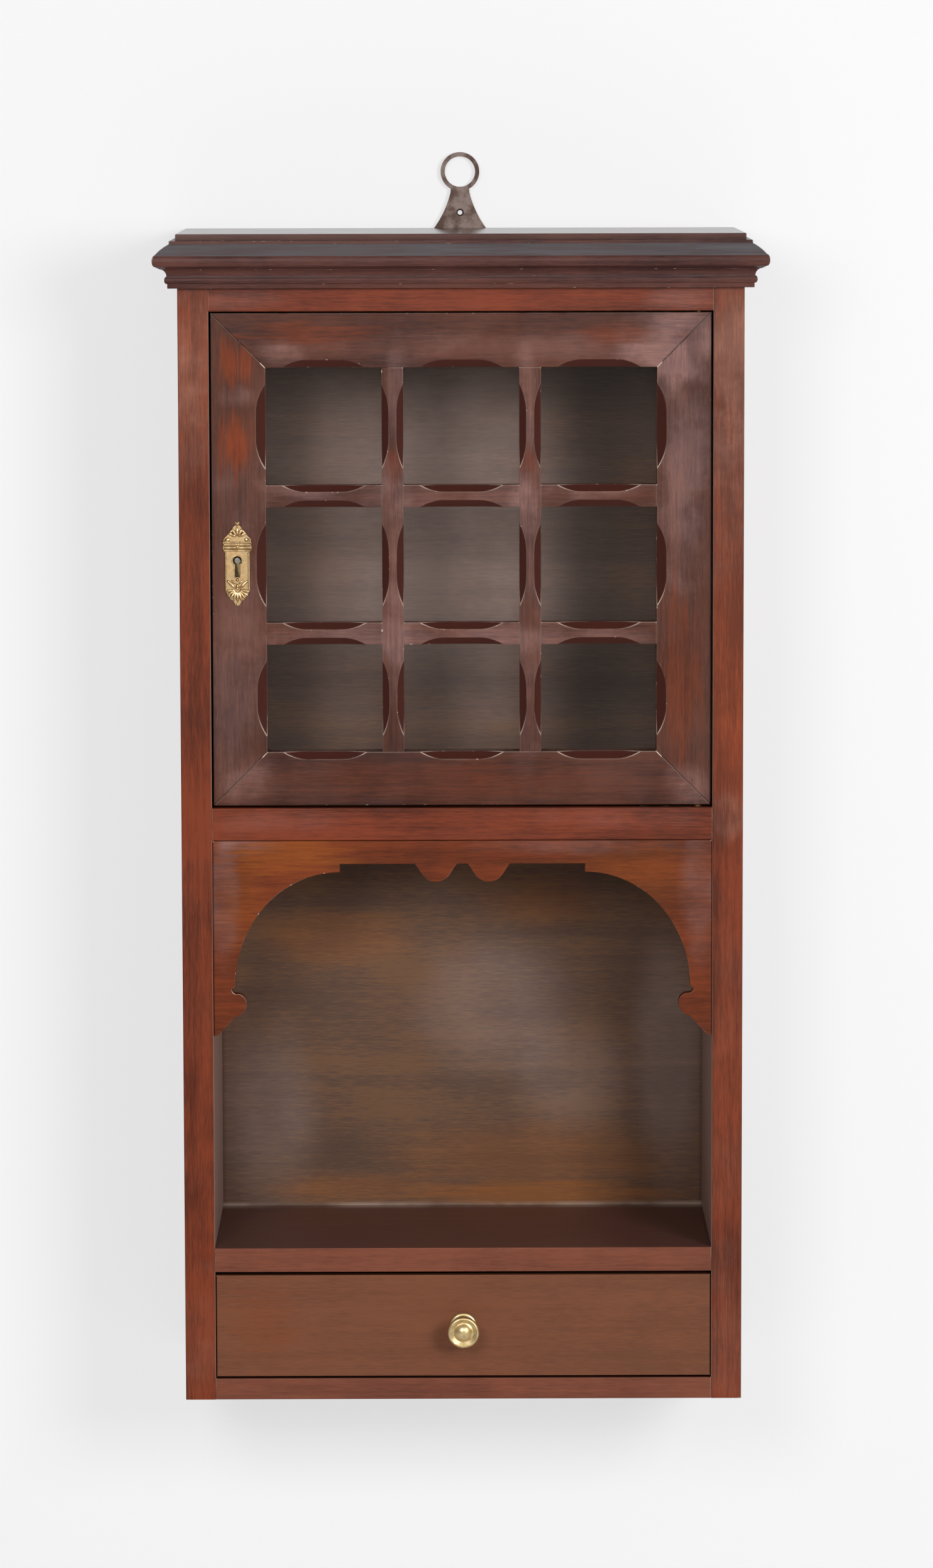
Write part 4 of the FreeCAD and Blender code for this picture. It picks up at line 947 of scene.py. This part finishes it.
# %% Keyhole plate: petal fans
def fan_tree():
    """Equal petals set out at equal angles about the origin, the middle one pointing up."""
    tree, given = new_group("petal_fan", ["Spread", "Root", "Length", "Width", "Height"], ["Petals"])
    points = wire(tree, "GeometryNodeMeshLine", {"Count": given["Petals"]})
    step = reckon(tree, "DIVIDE", given["Spread"], reckon(tree, "SUBTRACT", given["Petals"], 1.0))
    turn = times(tree, wire(tree, "GeometryNodeInputIndex"), step)
    turn = reckon(tree, "SUBTRACT", turn, times(tree, given["Spread"], 0.5))
    reach = reckon(tree, "ADD", given["Root"], times(tree, given["Length"], 0.5))
    x = times(tree, reach, reckon(tree, "SINE", turn))
    y = times(tree, reach, reckon(tree, "COSINE", turn))
    spot = vector_of(tree, X=x, Y=y)
    points = wire(tree, "GeometryNodeSetPosition", {"Geometry": points, "Position": spot})
    petal = wire(tree, "GeometryNodeMeshUVSphere", {"Segments": 12, "Rings": 8, "Radius": 0.5})
    size = vector_of(tree, X=given["Width"], Y=given["Length"], Z=given["Height"])
    lean = vector_of(tree, Z=times(tree, turn, -1.0))
    inputs = {"Points": points, "Instance": petal, "Rotation": lean, "Scale": size}
    petals = wire(tree, "GeometryNodeInstanceOnPoints", inputs)
    close_group(tree, given, petals)
    return tree


def on_plate(x, y, turn):
    """A place on the face of the plate, in millimetres, turned by so many degrees."""
    place = Matrix.Translation((x * mm, y * mm, field_thickness))
    return place @ Matrix.Rotation(math.radians(turn), 4, "Z")


def petal_fan(name, petals, spread, root, length, width, up, turn=0.0):
    """A fan of petals on the plate, its sizes in millimetres and its angles in degrees."""
    values = {"Petals": petals, "Spread": math.radians(spread), "Root": root * mm, "Length": length * mm,
              "Width": width * mm, "Height": petal_rise * mm, "Material": plate_brass}
    place = plate_place @ on_plate(0, up, turn)
    return grown("plate_" + name, bpy.data.meshes.new(name), fan, values, place)


petal_rise = 1.6
fan = fan_tree()
crest = petal_fan("crest", 5, spread=130, root=0.8, length=6.4, width=2.2, up=16.4)
shell = petal_fan("shell", 9, spread=160, root=1.4, length=7.4, width=2.0, up=-19.8, turn=180)
print("fans", len(crest.data.polygons), "and", len(shell.data.polygons), "faces")

# %% [markdown]
# The rest of the relief is laid on one by one: bars across the head, a bar down each edge, round beads, and
# leaves that lean in towards the shell. Then all of it becomes one mesh.

# %% Keyhole plate: beads, bars and leaves
relief = bmesh.new()
relief.from_mesh(plate_field)
relief.from_mesh(key_rim)


def bead_at(x, y, wide, tall, high, turn=0.0):
    """A rounded boss or leaf on the plate, with its middle, three sizes and turn."""
    shape = on_plate(x, y, turn) @ Matrix.Diagonal((wide * mm, tall * mm, high * mm, 1))
    bmesh.ops.create_uvsphere(relief, u_segments=12, v_segments=8, radius=0.5, matrix=shape)


def bar_at(x, y, long, thick, turn=0.0):
    """A half-round bar on the plate, level unless turned."""
    shape = on_plate(x, y, turn) @ Matrix.Rotation(math.radians(90), 4, "Y")
    radius = thick / 2 * mm
    bmesh.ops.create_cone(relief, segments=12, radius1=radius, radius2=radius, depth=long * mm,
                          cap_ends=True, cap_tris=False, matrix=shape)


for side in (-1, 1):
    bar_at(side * 7.9, -7.4, 26.4, 1.2, 90)
    bead_at(side * 9.2, 7.3, 1.3, 1.9, 1.8)
    bead_at(side * 9.2, 11.2, 1.3, 2.0, 1.8)
    bead_at(side * 6.9, 14.4, 4.4, 3.0, 1.4, side * -30)
    bead_at(side * 7.6, 14.4, 1.7, 1.7, 2.2)
    bead_at(side * 3.0, 17.9, 1.8, 1.8, 2.2)
    bead_at(side * 4.3, 20.2, 2.0, 4.2, 1.8, side * 38)
    bead_at(side * 4.4, -16.2, 2.2, 8.2, 1.6, side * -44)
    bead_at(side * 2.6, -14.6, 1.5, 4.4, 1.4, side * -52)
for height, long, thick in ((7.3, 18.4, 1.2), (9.1, 17.8, 1.7), (11.2, 18.6, 1.3), (12.8, 17.4, 0.9)):
    bar_at(0, height, long, thick)
for height, wide, tall, high in ((19.4, 2.6, 2.6, 2.4), (25.5, 2.2, 3.2, 1.8), (-13.2, 2.4, 2.2, 2.2),
                                 (-17.6, 2.4, 3.6, 2.2), (-30.2, 1.6, 2.8, 1.4)):
    bead_at(0, height, wide, tall, high)
relief.transform(plate_place)
for petals in (crest, shell):
    relief.from_mesh(petals.data)
    bpy.data.objects.remove(petals)
bmesh.ops.remove_doubles(relief, verts=relief.verts, dist=merge_distance)
bmesh.ops.recalc_face_normals(relief, faces=relief.faces)
plate_mesh = bpy.data.meshes.new("keyhole_plate")
relief.to_mesh(plate_mesh)
relief.free()
plate_mesh.materials.clear()
plate_mesh.materials.append(plate_brass)
plate_mesh.polygons.foreach_set("material_index", [0] * len(plate_mesh.polygons))
plate_mesh.shade_smooth()
plate_mesh.set_sharp_from_angle(angle=math.radians(50))
keyhole_plate = bpy.data.objects.new("keyhole_plate", plate_mesh)
scene.collection.objects.link(keyhole_plate)
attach(keyhole_plate, "door")
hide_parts("escutcheon")
print("keyhole plate", len(plate_mesh.polygons), "faces")

# %% [markdown]
# The back is held by sixteen countersunk screws and the hanger by two more, all with slotted heads. No two
# slots stop at the same angle when screws are driven by hand. One Geometry Nodes tree turns a head, cuts
# its slot, and sets a copy on every place at a turn drawn from a fixed seed. The places are read from the
# drawn screws.

# %% Screw tree
screw_sides = 24


def screw_tree():
    """Slotted countersunk screws on the given points, their heads looking back, each at its own turn."""
    sizes = ["Head", "Shank", "Length", "Slot width", "Slot depth"]
    tree, given = new_group("slotted_screws", sizes, ["Seed"])
    taper = reckon(tree, "SUBTRACT", given["Head"], given["Shank"])
    inputs = {"Vertices": screw_sides, "Radius Top": given["Head"], "Depth": taper,
              "Radius Bottom": given["Shank"]}
    cone = wire(tree, "GeometryNodeMeshCone", inputs)
    sink = vector_of(tree, Z=times(tree, taper, -1.0))
    head = wire(tree, "GeometryNodeTransform", {"Geometry": cone, "Translation": sink})
    stem = reckon(tree, "SUBTRACT", given["Length"], taper)
    inputs = {"Vertices": screw_sides, "Radius": given["Shank"], "Depth": stem}
    rod = wire(tree, "GeometryNodeMeshCylinder", inputs)
    drop = vector_of(tree, Z=reckon(tree, "SUBTRACT", times(tree, stem, -0.5), taper))
    rod = wire(tree, "GeometryNodeTransform", {"Geometry": rod, "Translation": drop})
    whole = add(tree, "GeometryNodeMeshBoolean", operation="UNION")
    tree.links.new(head, whole.inputs["Mesh 2"])
    tree.links.new(rod, whole.inputs["Mesh 2"])
    slot_long = times(tree, given["Head"], 3.0)
    slot_tall = times(tree, given["Slot depth"], 2.0)
    size = vector_of(tree, X=slot_long, Y=given["Slot width"], Z=slot_tall)
    slot = wire(tree, "GeometryNodeMeshCube", {"Size": size})
    inputs = {"Mesh 1": whole.outputs["Mesh"], "Mesh 2": slot}
    cut = wire(tree, "GeometryNodeMeshBoolean", inputs, operation="DIFFERENCE")
    inputs = {"Min": 0.0, "Max": math.pi, "Seed": given["Seed"]}
    any_turn = add(tree, "FunctionNodeRandomValue", inputs, data_type="FLOAT")
    turn = next(out for out in any_turn.outputs if out.enabled)
    lean = vector_of(tree, X=math.radians(-90), Y=turn)
    inputs = {"Points": given["Shape"], "Rotation": lean, "Instance": cut}
    driven = wire(tree, "GeometryNodeInstanceOnPoints", inputs)
    close_group(tree, given, driven)
    return tree


def separate_boxes(node):
    """The box of each separate solid in a group of equal pieces, in a steady order."""
    shape = bmesh.new()
    shape.from_mesh(nodes[node].data)
    bmesh.ops.remove_doubles(shape, verts=shape.verts, dist=merge_distance)
    waiting = set(shape.verts)
    boxes = []
    while waiting:
        found = [waiting.pop()]
        for here in found:
            near = {edge.other_vert(here) for edge in here.link_edges} & waiting
            waiting -= near
            found += near
        sides = list(zip(*(vert.co for vert in found)))
        boxes.append((Vector(map(min, sides)), Vector(map(max, sides))))
    shape.free()
    return sorted(boxes, key=lambda box: (round(box[0].z, 4), round(box[0].x, 4)))


print("screws of", screw_sides, "sides")

# %% [markdown]
# The heads keep the width and length of the drawn screws and lie flush with them. Only the slots are new.

# %% Drive the screws
slot_width = 0.0009
slot_depth = 0.0009
driver = screw_tree()
for node, shank, seed in (("back_screws", 0.0015, 4), ("hanger_screws", 0.0018, 9)):
    boxes = separate_boxes(node)
    first_low, first_high = boxes[0]
    places = bpy.data.meshes.new(node + "_places")
    places.from_pydata([((low.x + high.x) / 2, high.y, (low.z + high.z) / 2) for low, high in boxes], [], [])
    values = {"Head": (first_high.x - first_low.x) / 2, "Shank": shank, "Length": first_high.y - first_low.y,
              "Slot width": slot_width, "Slot depth": slot_depth, "Seed": seed, "Material": steel}
    screws = grown("slotted_" + node, places, driver, values, Matrix.Identity(4), soft_angle=40)
    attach(screws, "case")
    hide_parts(node)
    print(node, len(boxes), "screws,", len(screws.data.polygons), "faces")
